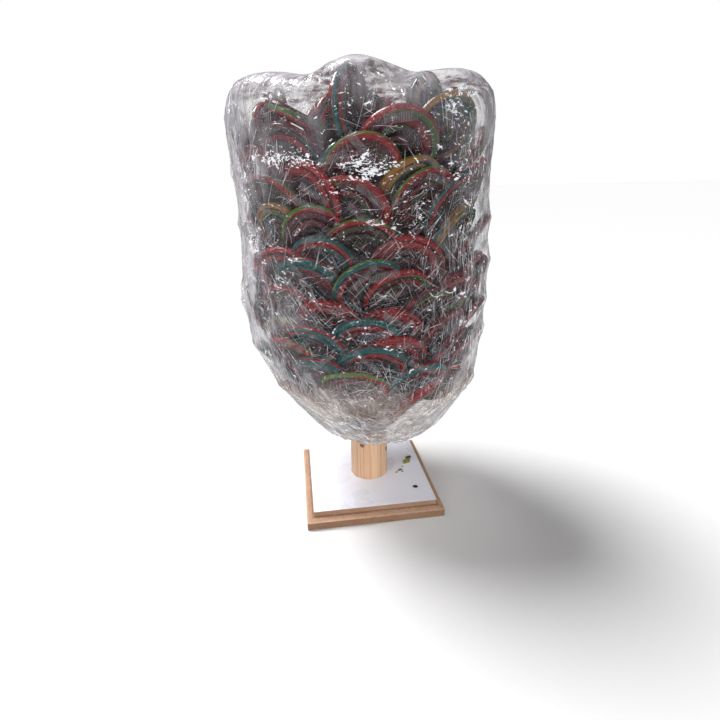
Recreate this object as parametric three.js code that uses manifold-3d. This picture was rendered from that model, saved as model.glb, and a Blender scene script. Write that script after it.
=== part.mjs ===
// A lollipop tree: a square moulded base board with a white face, a round wooden post, and a bunch of
// swirl lollipops stuck all round the post and wrapped together in clear film.
// Millimetres, +Z up, front towards -Y. The origin is the middle of the board's underside.

import * as THREE from "three";
import { mergeVertices } from "three/addons/utils/BufferGeometryUtils.js";
import Module from "manifold-3d";

const wasm = await Module();
wasm.setup();

// Base board with a routed edge
const boardSide = 150;
const boardThickness = 16.8;
const boardCornerRadius = 1.2;
const footChamfer = 0.5;
const ledgeWidth = 7.7; // from the raised square to the outer face
const ledgeOuterHeight = 9;
const ledgeInnerHeight = 10.8;
const ledgeNose = 0.8; // rounding of the ledge's outer arris
const stepCove = 1.4; // hollow at the foot of the raised square

// White facing on the raised square
const facingSide = boardSide - 2 * ledgeWidth;
const facingThickness = 0.6;
const facingTop = boardThickness + facingThickness;

// Spare hole drilled in the base
const spareHoleDiameter = 6.4;
const spareHoleDepth = 9;
const spareHolePlace = [50, -40.5];

// Post
const postDiameter = 42.8;
const postPlace = [3.4, 2.6]; // the post stands a little off the middle
const socketDepth = 6;
const postReach = 350; // above the white face
const postChamfer = 1.5;
const fitGap = 0.3;

// Empty stick holes in the post: azimuth in degrees from the front, height above the white face
const stickHoles = [[-30, 44.5], [62, 33]];
const stickHoleDiameter = 4.6;
const stickHoleDepth = 12;
const stickHoleSlope = 35; // degrees below level, going in

// Outline of the wrapped bunch: height above the white face, radius, sideways drift of its middle
const bunchOutline = [
  [54.5, 23.4, 0], [57, 34, 4], [61, 47, 8], [68, 62, 10], [80, 76, 10], [98, 90, 9], [121, 105, 7],
  [145, 115, 4], [168, 121, 1], [192, 125, -2], [240, 127.5, -2.5], [288, 125, -2], [335, 125, -3.5],
  [375, 126.5, -4], [393, 124.5, -4], [403, 120, -4], [409, 108, -3], [412, 70, -2], [412, 0, 0],
];
// Rims that stand proud of the outline: azimuth in degrees from the front, height, how far
const proudRims = [
  [-11, 408, 7.5], [-31, 409, -6.5], [17, 409, -6.5], [-58, 400, 3], [42, 402, 3],
  [90, 230, 3], [-99, 262, -3], [-101, 232, 4], [96, 170, 3],
];
const proudWidth = 22; // the spread of such a rim over the film
const neckWall = 1.2; // gathered film round the post
const neckHeight = 53; // lower edge of the gathered film above the white face
// Pointed tails of film that hang down the post: azimuth in degrees, length
const neckTails = [[-48, 2], [-14, 9], [17, 9], [72, 4], [118, 7], [171, 5], [214, 8], [268, 6]];
const tailHalfWidth = 9; // degrees

// Lollipops press the film out where their rims touch it
const lollyRadius = 31;
const lollyLean = 60; // degrees above level
const lollySpacing = 56; // round the bunch
const rowPitch = 26;
const firstRowHeight = 104;
const rowScatter = 5;
const rimInset = 4.5; // the deepest rim's distance inside the outline
const rimReach = 12; // half the length of rim that touches the film
const filmPull = 1.7; // how much deeper than its neighbours a cell of free film settles
const sagLimit = 6; // the deepest dip between rims
const sagAtNeck = 1; // less over the gathered folds below the lowest rims

// Facets
const aroundSteps = 80;
const alongSteps = 46;
const tightenRounds = 160;

// The bunch is measured from an upright spine, with fans of rays below and above it
const spineLow = 170;
const spineHigh = 330;
const fanRadius = 120;

const radians = THREE.MathUtils.degToRad;
const paint = (color, roughness) => new THREE.MeshStandardMaterial({ color, roughness, metalness: 0 });

// A repeatable scatter value from -1 to 1
function wobble(seed) {
  const wave = Math.sin(seed * 12.9898 + 4.1) * 43758.5453;
  return 2 * (wave - Math.floor(wave)) - 1;
}

// The angle between an azimuth in radians and one in degrees, the short way round
function turnTo(azimuth, degrees) {
  const turn = azimuth - radians(degrees);
  return Math.abs(THREE.MathUtils.euclideanModulo(turn + Math.PI, 2 * Math.PI) - Math.PI);
}

// A closed solid through a stack of rings, each counter-clockwise seen from above, with flat ends
function ringSolid(rings) {
  const size = rings[0].length;
  const middle = (ring) => ring.reduce((sum, p) => sum.add(p), new THREE.Vector3()).divideScalar(size);
  const points = [...rings.flat(), middle(rings[0]), middle(rings.at(-1))];
  const bottom = rings.length * size;
  const index = [];
  for (let side = 0; side < size; side++) {
    const next = (side + 1) % size;
    for (let level = 0; level < rings.length - 1; level++) {
      const low = level * size;
      const high = low + size;
      index.push(low + side, low + next, high + next, low + side, high + next, high + side);
    }
    const last = (rings.length - 1) * size;
    index.push(bottom, next, side, bottom + 1, last + side, last + next);
  }
  const geometry = new THREE.BufferGeometry();
  geometry.setAttribute("position", new THREE.Float32BufferAttribute(points.flatMap((p) => [...p]), 3));
  geometry.setIndex(index);
  return geometry;
}

// Merged vertices make a three.js shape a solid that can be cut
function toSolid(geometry) {
  const bare = geometry.clone();
  bare.deleteAttribute("normal");
  bare.deleteAttribute("uv");
  const merged = mergeVertices(bare, 1e-4);
  return new wasm.Manifold(new wasm.Mesh({
    numProp: 3,
    vertProperties: new Float32Array(merged.attributes.position.array),
    triVerts: new Uint32Array(merged.index.array),
  }));
}

function cut(geometry, ...tools) {
  const solid = tools.reduce((left, tool) => left.subtract(toSolid(tool)), toSolid(geometry));
  const mesh = solid.getMesh();
  const result = new THREE.BufferGeometry();
  result.setAttribute("position", new THREE.BufferAttribute(mesh.vertProperties, 3));
  result.setIndex(new THREE.BufferAttribute(mesh.triVerts, 1));
  return result;
}

function namedMesh(name, geometry, material) {
  geometry.computeVertexNormals();
  const mesh = new THREE.Mesh(geometry, material);
  mesh.name = name;
  return mesh;
}

// An upright cylinder between two heights
function uprightCylinder(radius, low, high, sides, [x, y]) {
  return new THREE.CylinderGeometry(radius, radius, high - low, sides)
    .rotateX(Math.PI / 2)
    .translate(x, y, (low + high) / 2);
}

// A square with rounded corners, as one ring of points
function squareRing(half, height, cornerRadius) {
  const ring = [];
  const arcSteps = 4;
  for (let corner = 0; corner < 4; corner++) {
    const turn = (corner * Math.PI) / 2 - Math.PI / 2;
    for (let step = 0; step <= arcSteps; step++) {
      const angle = turn + (step / arcSteps) * (Math.PI / 2);
      const side = half - cornerRadius;
      const signX = corner === 0 || corner === 1 ? 1 : -1;
      const signY = corner === 1 || corner === 2 ? 1 : -1;
      ring.push(new THREE.Vector3(
        signX * side + cornerRadius * Math.cos(angle),
        signY * side + cornerRadius * Math.sin(angle),
        height,
      ));
    }
  }
  return ring;
}

const spareHole = uprightCylinder(spareHoleDiameter / 2, facingTop - spareHoleDepth, facingTop + 1, 20,
  spareHolePlace);
const socket = uprightCylinder(postDiameter / 2 + fitGap, boardThickness - socketDepth, facingTop + 1, 64,
  postPlace);

// The board's section: a plain lower edge, a rounded ledge and a coved step up to the raised square
function baseBoard() {
  const outer = boardSide / 2;
  const inner = facingSide / 2;
  const section = [[outer - footChamfer, 0], [outer, footChamfer]];
  for (let step = 0; step <= 4; step++) {
    const angle = (step / 4) * radians(76);
    section.push([
      outer - ledgeNose + ledgeNose * Math.cos(angle),
      ledgeOuterHeight - ledgeNose + ledgeNose * Math.sin(angle),
    ]);
  }
  section.push([(outer + inner + stepCove) / 2, (ledgeOuterHeight + ledgeInnerHeight) / 2 + 0.25]);
  for (let step = 0; step <= 4; step++) {
    const angle = (step / 4) * (Math.PI / 2);
    section.push([
      inner + stepCove * (1 - Math.sin(angle)),
      ledgeInnerHeight + stepCove * (1 - Math.cos(angle)),
    ]);
  }
  section.push([inner, boardThickness]);
  const rings = section.map(([half, height]) => squareRing(half, height, boardCornerRadius));
  return cut(ringSolid(rings), socket, spareHole);
}

function whiteFacing() {
  const rings = [boardThickness, facingTop].map((height) =>
    squareRing(facingSide / 2, height, boardCornerRadius));
  return cut(ringSolid(rings), socket, spareHole);
}

// The post stands in its socket and ends inside the bunch
function post() {
  const radius = postDiameter / 2;
  const foot = boardThickness - socketDepth + fitGap;
  const head = facingTop + postReach;
  const profile = [
    [0, foot], [radius, foot], [radius, head - postChamfer], [radius - postChamfer, head], [0, head],
  ];
  const body = new THREE.LatheGeometry(profile.map(([r, z]) => new THREE.Vector2(r, z)), 64)
    .rotateX(Math.PI / 2)
    .translate(postPlace[0], postPlace[1], 0);
  const drills = stickHoles.map(([azimuth, height]) =>
    new THREE.CylinderGeometry(stickHoleDiameter / 2, stickHoleDiameter / 2, stickHoleDepth * 2, 16)
      .rotateX(radians(stickHoleSlope))
      .translate(0, -radius, facingTop + height)
      .rotateZ(radians(azimuth))
      .translate(postPlace[0], postPlace[1], 0));
  return cut(body, ...drills);
}

// From height and radius to the distance along the spine's fans and the reach out from it, and back
function toFan(height, radius) {
  const rise = height - THREE.MathUtils.clamp(height, spineLow, spineHigh);
  const straight = height - rise - spineLow;
  return [straight + Math.atan2(rise, radius) * fanRadius, Math.hypot(rise, radius)];
}

function fromFan(along, reach) {
  const straight = THREE.MathUtils.clamp(along, 0, spineHigh - spineLow);
  const angle = (along - straight) / fanRadius;
  return [spineLow + straight + reach * Math.sin(angle), reach * Math.cos(angle)];
}

// The outline as a smooth curve, looked up by distance along the fans
const outlinePoints = bunchOutline.map(
  ([height, radius, drift]) => new THREE.Vector3(radius, drift, height));
const outlineCurve = new THREE.CatmullRomCurve3(outlinePoints, false, "centripetal");
const outlineTable = outlineCurve.getPoints(400).map(({ x: radius, y: drift, z: height }) => {
  const [along, reach] = toFan(height, Math.max(radius, 0));
  return { height, along, reach, drift };
});

function outlineAt(along) {
  const after = outlineTable.findIndex((entry) => entry.along >= along);
  if (after <= 0) return after === 0 ? outlineTable[0] : outlineTable.at(-1);
  const [a, b] = [outlineTable[after - 1], outlineTable[after]];
  const share = (along - a.along) / Math.max(b.along - a.along, 1e-9);
  const blend = (key) => THREE.MathUtils.lerp(a[key], b[key], share);
  return { along, reach: blend("reach"), drift: blend("drift") };
}

const firstRow = outlineTable.find(({ height }) => height >= firstRowHeight).along;
const alongStart = outlineTable[0].along;
const alongEnd = (spineHigh - spineLow) + fanRadius * radians(86);
const alongStep = (alongEnd - alongStart) / alongSteps;

// How far the proud rims push a place on the outline out, falling off like a bell
function proudAt(azimuth, height, radius) {
  return proudRims.reduce((sum, [degrees, rimHeight, amount]) => {
    const away = Math.hypot(turnTo(azimuth, degrees) * radius, height - rimHeight) / proudWidth;
    return sum + amount * Math.exp(-away * away);
  }, 0);
}

// How deep inside the outline the staggered rows of rims hold the film, for each cell that one touches
function rimDepths() {
  const held = new Map();
  const lean = radians(lollyLean);
  for (let along = firstRow, row = 0; along <= alongEnd; along += rowPitch, row++) {
    const radius = fromFan(along, outlineAt(along).reach)[1];
    const count = Math.max(1, Math.round((2 * Math.PI * radius) / lollySpacing));
    for (let place = 0; place < count; place++) {
      const seed = row * 31 + place;
      const azimuth = ((place + 0.5 * (row % 2) + 0.22 * wobble(seed)) * 2 * Math.PI) / count;
      const depth = rimInset * (0.5 + 0.5 * wobble(seed + 0.5));
      const tip = along + rowScatter * wobble(seed + 0.25);
      for (let offset = -rimReach; offset <= rimReach; offset += rimReach / 2) {
        const drop = lollyRadius - Math.sqrt(lollyRadius ** 2 - offset ** 2);
        const level = Math.round((tip - drop * Math.sin(lean) - alongStart) / alongStep);
        const turn = azimuth + offset / Math.max(radius, lollyRadius);
        const side = Math.round((turn / (2 * Math.PI)) * aroundSteps + aroundSteps) % aroundSteps;
        const key = level * aroundSteps + side;
        held.set(key, Math.min(held.get(key) ?? Infinity, depth + drop * Math.cos(lean)));
      }
    }
  }
  return held;
}

// Slack film drawn tight over the rims: each cell settles at the mean sag of its neighbours and a pull
function filmSags() {
  const held = rimDepths();
  const levels = Array.from({ length: alongSteps + 1 }, (_, i) => alongStart + i * alongStep);
  // Cells narrow towards the ends, so there their neighbours round the ring count for more
  const grip = levels.map((along) => {
    const radius = fromFan(along, outlineAt(along).reach)[1];
    return ((alongStep * aroundSteps) / (2 * Math.PI * radius)) ** 2;
  });
  const limit = levels.map((along) => {
    const share = THREE.MathUtils.smoothstep(along, alongStart, firstRow);
    return THREE.MathUtils.lerp(sagAtNeck, sagLimit, share);
  });
  const sags = limit.map((deepest) => Array(aroundSteps).fill(deepest / 2));
  sags[0].fill(0);
  for (let round = 0; round < tightenRounds; round++) {
    for (let i = 1; i <= alongSteps; i++) {
      for (let side = 0; side < aroundSteps; side++) {
        const across = sags[i][(side + 1) % aroundSteps] + sags[i].at(side - 1);
        const along = sags[i - 1][side] + sags[Math.min(i + 1, alongSteps)][side];
        const settled = (across * grip[i] + along + filmPull) / (2 * grip[i] + 2);
        sags[i][side] = Math.min(settled, held.get(i * aroundSteps + side) ?? limit[i]);
      }
    }
  }
  return sags;
}

// The wrapped bunch: film drawn over the rims, gathered round the post, with a blind hole for the post
function wrappedLollipops() {
  const azimuths = Array.from({ length: aroundSteps }, (_, side) => (side / aroundSteps) * 2 * Math.PI);
  const ring = (place) => azimuths.map((azimuth, side) => {
    const { radius, height, drift = 0 } = place(azimuth, side);
    return new THREE.Vector3(
      postPlace[0] + drift + radius * Math.sin(azimuth),
      postPlace[1] - radius * Math.cos(azimuth),
      facingTop + height,
    );
  });
  const hem = (azimuth) => {
    const tails = neckTails.map(([degrees, length]) =>
      length * Math.max(0, 1 - turnTo(azimuth, degrees) / radians(tailHalfWidth)));
    return neckHeight - Math.max(...tails);
  };
  const bore = postDiameter / 2 + fitGap;
  const boreTop = postReach + fitGap;
  const sags = filmSags();
  const rings = [
    ring(() => ({ radius: bore, height: boreTop })),
    ring(() => ({ radius: bore, height: neckHeight + 2 })),
    ring((azimuth) => ({ radius: bore, height: hem(azimuth) })),
    ring((azimuth) => ({ radius: bore + neckWall / 2, height: hem(azimuth) })),
    ring(() => ({ radius: bore + neckWall, height: neckHeight + 1 })),
    ...sags.map((row, i) => ring((azimuth, side) => {
      const along = alongStart + i * alongStep;
      const { reach, drift } = outlineAt(along);
      const [flatHeight, flatRadius] = fromFan(along, reach);
      const proud = proudAt(azimuth, flatHeight, flatRadius);
      const [height, radius] = fromFan(along, reach - row[side] + proud);
      return { radius, height, drift };
    })),
  ];
  return ringSolid(rings);
}

const tree = new THREE.Group();
tree.add(
  namedMesh("base_board", baseBoard(), paint(0xb98f70, 0.75)),
  namedMesh("white_facing", whiteFacing(), paint(0xf0f0f6, 0.3)),
  namedMesh("post", post(), paint(0xdfb78c, 0.6)),
  namedMesh("wrapped_lollipops", wrappedLollipops(), paint(0x8c6f78, 0.25)),
);

export default tree;
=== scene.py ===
import math

import bpy
import numpy as np
from mathutils import Matrix, Vector


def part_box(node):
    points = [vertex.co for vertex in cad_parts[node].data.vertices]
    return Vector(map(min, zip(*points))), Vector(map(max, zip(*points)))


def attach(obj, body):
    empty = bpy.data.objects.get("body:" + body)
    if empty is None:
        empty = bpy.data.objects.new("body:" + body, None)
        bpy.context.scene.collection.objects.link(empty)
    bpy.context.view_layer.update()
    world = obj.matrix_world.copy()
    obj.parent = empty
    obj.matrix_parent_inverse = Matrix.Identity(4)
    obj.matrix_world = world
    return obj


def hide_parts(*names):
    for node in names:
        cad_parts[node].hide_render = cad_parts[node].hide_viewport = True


# A lollipop tree: swirl lollipops on sticks all round a wooden post, wrapped in clear film,
# on a square board with a white face. Shapes are worked out in millimetres and put into
# metres when a mesh is made. Azimuths are degrees from the front (-Y), counter-clockwise.

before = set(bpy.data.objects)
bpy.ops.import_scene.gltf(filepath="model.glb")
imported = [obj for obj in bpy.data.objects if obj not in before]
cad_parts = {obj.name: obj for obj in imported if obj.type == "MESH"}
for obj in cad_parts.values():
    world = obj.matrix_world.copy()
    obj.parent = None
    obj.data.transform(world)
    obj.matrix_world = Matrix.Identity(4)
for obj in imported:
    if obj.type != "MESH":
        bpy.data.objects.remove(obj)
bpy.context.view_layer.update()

mm = 0.001
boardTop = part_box("base_board")[1][2] / mm
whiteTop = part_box("white_facing")[1][2] / mm
postLow, postHigh = (np.array(corner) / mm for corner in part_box("post"))
postMiddle = (postLow[:2] + postHigh[:2]) / 2
postRadius = (postHigh[0] - postLow[0]) / 2
print("frame loaded, white face at", round(float(whiteTop), 1), "mm")


def smoothStep(low, high, value):
    # 0 below low, 1 above high, an S curve between
    share = np.clip((value - low) / (high - low), 0, 1)
    return share * share * (3 - 2 * share)


def unit(vectors):
    # Each vector over its own length
    return vectors / np.linalg.norm(vectors, axis=-1, keepdims=True)


def capStrip(ring):
    # Closes a loop of corner numbers with a strip of quads across it; the loop has an even count
    ring = np.asarray(ring)
    k = np.arange(len(ring) // 2 - 1)
    return np.stack([ring[k], ring[k + 1], ring[len(ring) - 2 - k], ring[len(ring) - 1 - k]], -1)


def makeMesh(name, points, faces, uv=None, attributes=None, smooth=True, uvTurn=0):
    # points in mm; faces as rows of corner numbers; uv one pair for each point; uvTurn is what a
    # full turn is worth in u, added where a face crosses the seam
    mesh = bpy.data.meshes.new(name)
    faces = np.asarray(faces, np.int32)
    corners = faces.shape[1]
    mesh.vertices.add(len(points))
    mesh.vertices.foreach_set("co", (points * mm).astype(np.float32).ravel())
    mesh.loops.add(faces.size)
    mesh.loops.foreach_set("vertex_index", faces.ravel())
    mesh.polygons.add(len(faces))
    mesh.polygons.foreach_set("loop_start", np.arange(0, faces.size, corners, dtype=np.int32))
    mesh.update(calc_edges=True)
    mesh.validate()
    mesh.polygons.foreach_set("use_smooth", np.full(len(mesh.polygons), smooth))
    if uv is not None:
        layer = mesh.uv_layers.new(name="across")
        index = np.empty(len(mesh.loops), np.int32)
        mesh.loops.foreach_get("vertex_index", index)
        perCorner = uv[index]
        if uvTurn:
            u = perCorner[:, 0].reshape(-1, corners)
            perCorner[:, 0] = np.where(u < u.max(1, keepdims=True) - uvTurn / 2, u + uvTurn, u).ravel()
        layer.data.foreach_set("uv", perCorner.astype(np.float32).ravel())
    for label, values in (attributes or {}).items():
        marked = mesh.attributes.new(label, "FLOAT", "POINT")
        marked.data.foreach_set("value", values.astype(np.float32).ravel())
    piece = bpy.data.objects.new(name, mesh)
    bpy.context.scene.collection.objects.link(piece)
    return piece


def gridFaces(rows, columns, wrap=False):
    # Quads of a grid whose points are numbered row by row; wrap joins the last column to the first
    row, column = np.meshgrid(np.arange(rows - 1), np.arange(columns if wrap else columns - 1), indexing="ij")
    a = row * columns + column
    b = row * columns + (column + 1) % columns
    return np.stack([a, b, b + columns, a + columns], -1).reshape(-1, 4)


bunchShape = {
    # height above the white face, radius, sideways drift of the middle
    "outline": [
        (54.5, 23.4, 0), (57, 34, 4), (61, 47, 8), (68, 62, 10), (80, 76, 10), (98, 90, 9), (121, 105, 7),
        (145, 115, 4), (168, 121, 1), (192, 125, -2), (240, 127.5, -2.5), (288, 125, -2), (335, 125, -3.5),
        (375, 126.5, -4), (393, 124.5, -4), (403, 120, -4), (409, 108, -3), (412, 70, -2), (412, 0, 0),
    ],
    # azimuth, height, how far a rim there stands proud
    "proudRims": [
        (-11, 408, 7.5), (-31, 409, -6.5), (17, 409, -6.5), (-58, 400, 3), (42, 402, 3), (90, 230, 3),
        (-99, 262, -3), (-101, 232, 4), (96, 170, 3),
    ],
    "proudWidth": 22,       # the spread of such a rim over the film
    "spineLow": 170,        # reach is measured from an upright spine between these heights,
    "spineHigh": 330,       # and from its ends in fans
    "fanRadius": 120,       # mm along the outline for each radian of a fan
    "samples": 600,
    "sideSamples": 450,     # those of them that lie below the flat top
}


def toFan(height, radius):
    # Distance along the spine and its fans, and the reach out from it: beside the spine these are the
    # height and the radius, and past its ends the angle times the fan's radius and the slant distance
    rise = height - np.clip(height, bunchShape["spineLow"], bunchShape["spineHigh"])
    straight = height - rise - bunchShape["spineLow"]
    return straight + np.arctan2(rise, radius) * bunchShape["fanRadius"], np.hypot(rise, radius)


def fromFan(along, reach):
    # The other way: height and radius, the reach turned by the angle that is left past the spine's end
    straight = np.clip(along, 0, bunchShape["spineHigh"] - bunchShape["spineLow"])
    angle = (along - straight) / bunchShape["fanRadius"]
    return bunchShape["spineLow"] + straight + reach * np.sin(angle), reach * np.cos(angle)


def catmullRom(points, samples):
    # A smooth curve through the points, each span a cubic with centripetal spacing
    points = np.array(points, float)
    padded = np.vstack([2 * points[0] - points[1], points, 2 * points[-1] - points[-2]])
    knots = np.concatenate([[0], np.cumsum(np.linalg.norm(np.diff(padded, axis=0), axis=1) ** 0.5)])
    where = np.linspace(knots[1], knots[-2], samples)
    span = np.clip(np.searchsorted(knots, where, side="right") - 1, 1, len(padded) - 3)
    t0, t1, t2, t3 = (knots[span + shift][:, None] for shift in (-1, 0, 1, 2))
    p0, p1, p2, p3 = (padded[span + shift] for shift in (-1, 0, 1, 2))
    t = where[:, None]
    a1 = ((t1 - t) * p0 + (t - t0) * p1) / (t1 - t0)
    a2 = ((t2 - t) * p1 + (t - t1) * p2) / (t2 - t1)
    a3 = ((t3 - t) * p2 + (t - t2) * p3) / (t3 - t2)
    b1 = ((t2 - t) * a1 + (t - t0) * a2) / (t2 - t0)
    b2 = ((t3 - t) * a2 + (t - t1) * a3) / (t3 - t1)
    return ((t2 - t) * b1 + (t - t1) * b2) / (t2 - t1)


outlineCurve = catmullRom([(radius, drift, height) for height, radius, drift in bunchShape["outline"]],
                          bunchShape["samples"])
outlineAlong, outlineReach = toFan(outlineCurve[:, 2], np.maximum(outlineCurve[:, 0], 0))
outlineDrift = outlineCurve[:, 1]
rising = outlineCurve[:int(np.argmax(outlineCurve[:, 2])) + 1]
sideCurve, sideAlong = outlineCurve[:bunchShape["sideSamples"]], outlineAlong[:bunchShape["sideSamples"]]


def proudAt(azimuth, height, radius):
    # Bulges, and hollows where the amount is negative: the sum of amount * exp(-(distance / width)^2)
    total = np.zeros(np.broadcast(azimuth, height).shape)
    for degrees, rimHeight, amount in bunchShape["proudRims"]:
        turn = (azimuth - math.radians(degrees) + math.pi) % (2 * math.pi) - math.pi
        away = np.hypot(turn * radius, height - rimHeight) / bunchShape["proudWidth"]
        total += amount * np.exp(-away * away)
    return total


def outlineAt(azimuth, along):
    # Reach of the outline with its proud rims, and the drift of its middle
    reach = np.interp(along, outlineAlong, outlineReach)
    drift = np.interp(along, outlineAlong, outlineDrift)
    height, radius = fromFan(along, reach)
    return reach + proudAt(azimuth, height, radius), drift


def bunchPoint(azimuth, along, reach, drift):
    # The post's middle, drifted to the right, plus the radius towards the azimuth, at the fan's height
    height, radius = fromFan(along, reach)
    return np.stack([
        postMiddle[0] + drift + radius * np.sin(azimuth),
        postMiddle[1] - radius * np.cos(azimuth),
        whiteTop + height,
    ], -1)


def bunchPlace(points):
    # The other way: azimuth, along and reach of points, with the drift settled in three rounds
    along = np.full(points.shape[:-1], 100.0)
    for _ in range(3):
        drift = np.interp(along, outlineAlong, outlineDrift)
        x = points[..., 0] - postMiddle[0] - drift
        y = points[..., 1] - postMiddle[1]
        along, reach = toFan(points[..., 2] - whiteTop, np.hypot(x, y))
    return np.arctan2(x, -y), along, reach


planting = {
    "seed": 7,
    "radius": 31,
    "thickness": 8.2,
    "rowPitch": 27,
    "spacing": 60,          # round the bunch
    "lowestTip": 150,       # height of the lowest rims' tips above the white face
    "keepApart": 0.85,      # share of the spacing below which a place is skipped
    "rowRoom": 1.45,        # rows that count as one spacing when room is measured up the bunch
    "jitter": 0.1,          # scatter round the bunch, as a share of a place
    "lift": 3.5,            # scatter up and down
    "under": 1.8,           # film and wrapper over a rim
    "deeper": 5,            # scatter inwards of those that no list places
    "leanAt": [150, 215, 385, 408],     # heights of tips above the white face
    "lean": [38, 54, 60, 84],           # degrees above level there
    "settleRounds": 40,
    "settlePace": 0.36,     # share of an overlap that is mended in a round
    "settleStep": 6,        # the most of it that counts
    "listedEase": 0.2,      # how readily those of the list give way, against 1
    "giveListed": 5,        # the furthest that settling moves one
    "giveOthers": 18,
    # lollipops that face the front: azimuth, tip height, kind, bank and twist in degrees,
    # where the coil's outer turn starts as a share of a turn, and which strand leads at the tip
    "front": [
        (-13, 409.5, "darkRed", 8, 68, 0.3, 1), (-52, 391, "maroon", 62, -72, 0.3, 0),
        (28, 389, "amberViolet", 6, -6, 0.35, 0), (7, 381, "redGreen", -12, 4, 0.3, 1),
        (-8, 368.5, "maroon", 0, 0, 0.32, 0.4), (12, 346, "amberTeal", 4, 6, 0.3, 0),
        (-25, 337, "redOnly", -40, -6, 0.3, 0), (-6, 325, "redGreen", -44, 8, 0.3, 0),
        (19, 337, "maroon", 8, 0, 0.3, 0.5), (-28, 317, "maroon", 2, 4, 0.32, 0),
        (-48, 314, "amberTeal", 4, 0, 0.3, 0), (-8, 303, "oliveRed", 0, 0, 0.3, 0.4),
        (33, 303, "amberTeal", 28, 0, 0.5, 0), (22, 279, "redOnly", -36, -6, 0.3, 0),
        (-28, 290, "tealRed", -8, 4, 0.3, 2.1), (-32, 273, "tealRed", -2, 2, 0.3, 1),
        (-8, 274, "tealGreen", 12, 4, 0.3, 0.7), (8, 266, "redGreen", 4, 0, 0.3, 1),
        (-50, 278, "redOnly", 10, 6, 0.4, 0), (-22, 236, "redOnly", -8, 0, 0.4, 0),
        (6, 231, "redOnly", -6, 0, 0.5, 1), (-50, 214, "oliveRed", 6, 4, 0.3, 0),
        (-32, 216, "tealRed", -6, 0, 0.3, 0.4), (-9, 227, "tealRed", -4, 0, 0.3, 1.6),
        (8, 210, "redOnly", -12, 0, 0.2, 0), (-8, 202, "tealRed", 2, 0, 0.3, 1.6),
        (-30, 191, "tealRed", -4, 0, 0.3, 0.8), (-14, 180, "maroon", -4, 0, 0.3, 0),
        (14, 175, "tealRed", 10, -6, 0.3, 1.6), (30, 196, "redOnly", 26, 0, 0.6, 0),
        (-41, 199, "oliveRed", -14, 4, 0.5, 0), (14, 152, "redOnly", 24, 0, 0.5, 0),
        (-50, 245, "maroon", 14, 0, 0.5, 1), (22, 218, "redGreen", 30, 0, 0.6, 2),
        (-52, 340, "oliveRed", 6, 0, 0.5, 0), (-36, 366, "darkRed", -24, 10, 0.3, 0),
        (58, 300, "maroon", 10, 0, 0.5, 1), (56, 228, "redOnly", 10, 0, 0.5, 0),
        (50, 263, "maroon", 12, 0, 0.5, 1), (76, 264, "redOnly", 0, 0, 0.5, 0),
        (66, 196, "redGreen", 0, 0, 0.5, 0), (-70, 300, "darkRed", -10, 0, 0.5, 1),
        (30, 255, "redOnly", 10, 0, 0.5, 1), (20, 243, "maroon", 6, 0, 0.5, 2),
        (35, 339, "darkRed", 12, 0, 0.5, 1), (-20, 351, "darkRed", 30, 20, 0.5, 1),
        (-60, 362, "redOnly", 0, 0, 0.5, 0), (36, 231, "redGreen", 12, 0, 0.5, 1),
    ],
    "kinds": ["redGreen", "redOnly", "tealRed", "tealGreen", "maroon", "oliveRed", "amberTeal",
              "darkRed", "amberViolet"],
    "shares": [0.22, 0.17, 0.14, 0.08, 0.12, 0.1, 0.07, 0.07, 0.03],
    "bankScatter": 14,
    "twistScatter": 12,
}


def plantLollipops():
    # The front ones first, then staggered rows all round wherever there is still room
    draw = np.random.default_rng(planting["seed"])
    chosen = []
    for azimuth, height, *rest in planting["front"]:
        radius = np.interp(height, rising[:, 2], rising[:, 0])
        along = float(toFan(height, radius)[0])
        chosen.append((math.radians(azimuth), along, *rest, 0.0))
    along = float(np.interp(planting["lowestTip"], sideCurve[:, 2], sideAlong))
    row = 0
    while along < outlineAlong[-1]:
        reach = float(np.interp(along, outlineAlong, outlineReach))
        radius = float(fromFan(along, reach)[1])
        count = max(1, round(2 * math.pi * radius / planting["spacing"]))
        for place in range(count):
            jitter, lift, bank, twist, deep = draw.normal(size=5)
            kind = str(draw.choice(planting["kinds"], p=planting["shares"]))
            start, lead = draw.uniform(0, 1), draw.uniform(0, 4)
            azimuth = (place + 0.5 * (row % 2) + planting["jitter"] * jitter) * 2 * math.pi / count
            at = along + planting["lift"] * lift
            free = True
            for otherAzimuth, otherAlong, *_ in chosen:
                turn = (azimuth - otherAzimuth + math.pi) % (2 * math.pi) - math.pi
                gap = math.hypot(turn * radius / planting["spacing"],
                                 (at - otherAlong) / (planting["rowRoom"] * planting["rowPitch"]))
                free = free and gap > planting["keepApart"]
            if free:
                chosen.append((azimuth, at, kind, bank * planting["bankScatter"],
                               twist * planting["twistScatter"], start, lead,
                               abs(deep) * planting["deeper"]))
        along += planting["rowPitch"]
        row += 1
    return chosen


def turned(vectors, axes, angles):
    # Turns each vector about its own axis by the right-hand rule
    c, s = np.cos(angles)[:, None], np.sin(angles)[:, None]
    dot = np.sum(vectors * axes, -1, keepdims=True)
    return vectors * c + np.cross(axes, vectors) * s + axes * dot * (1 - c)


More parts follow.
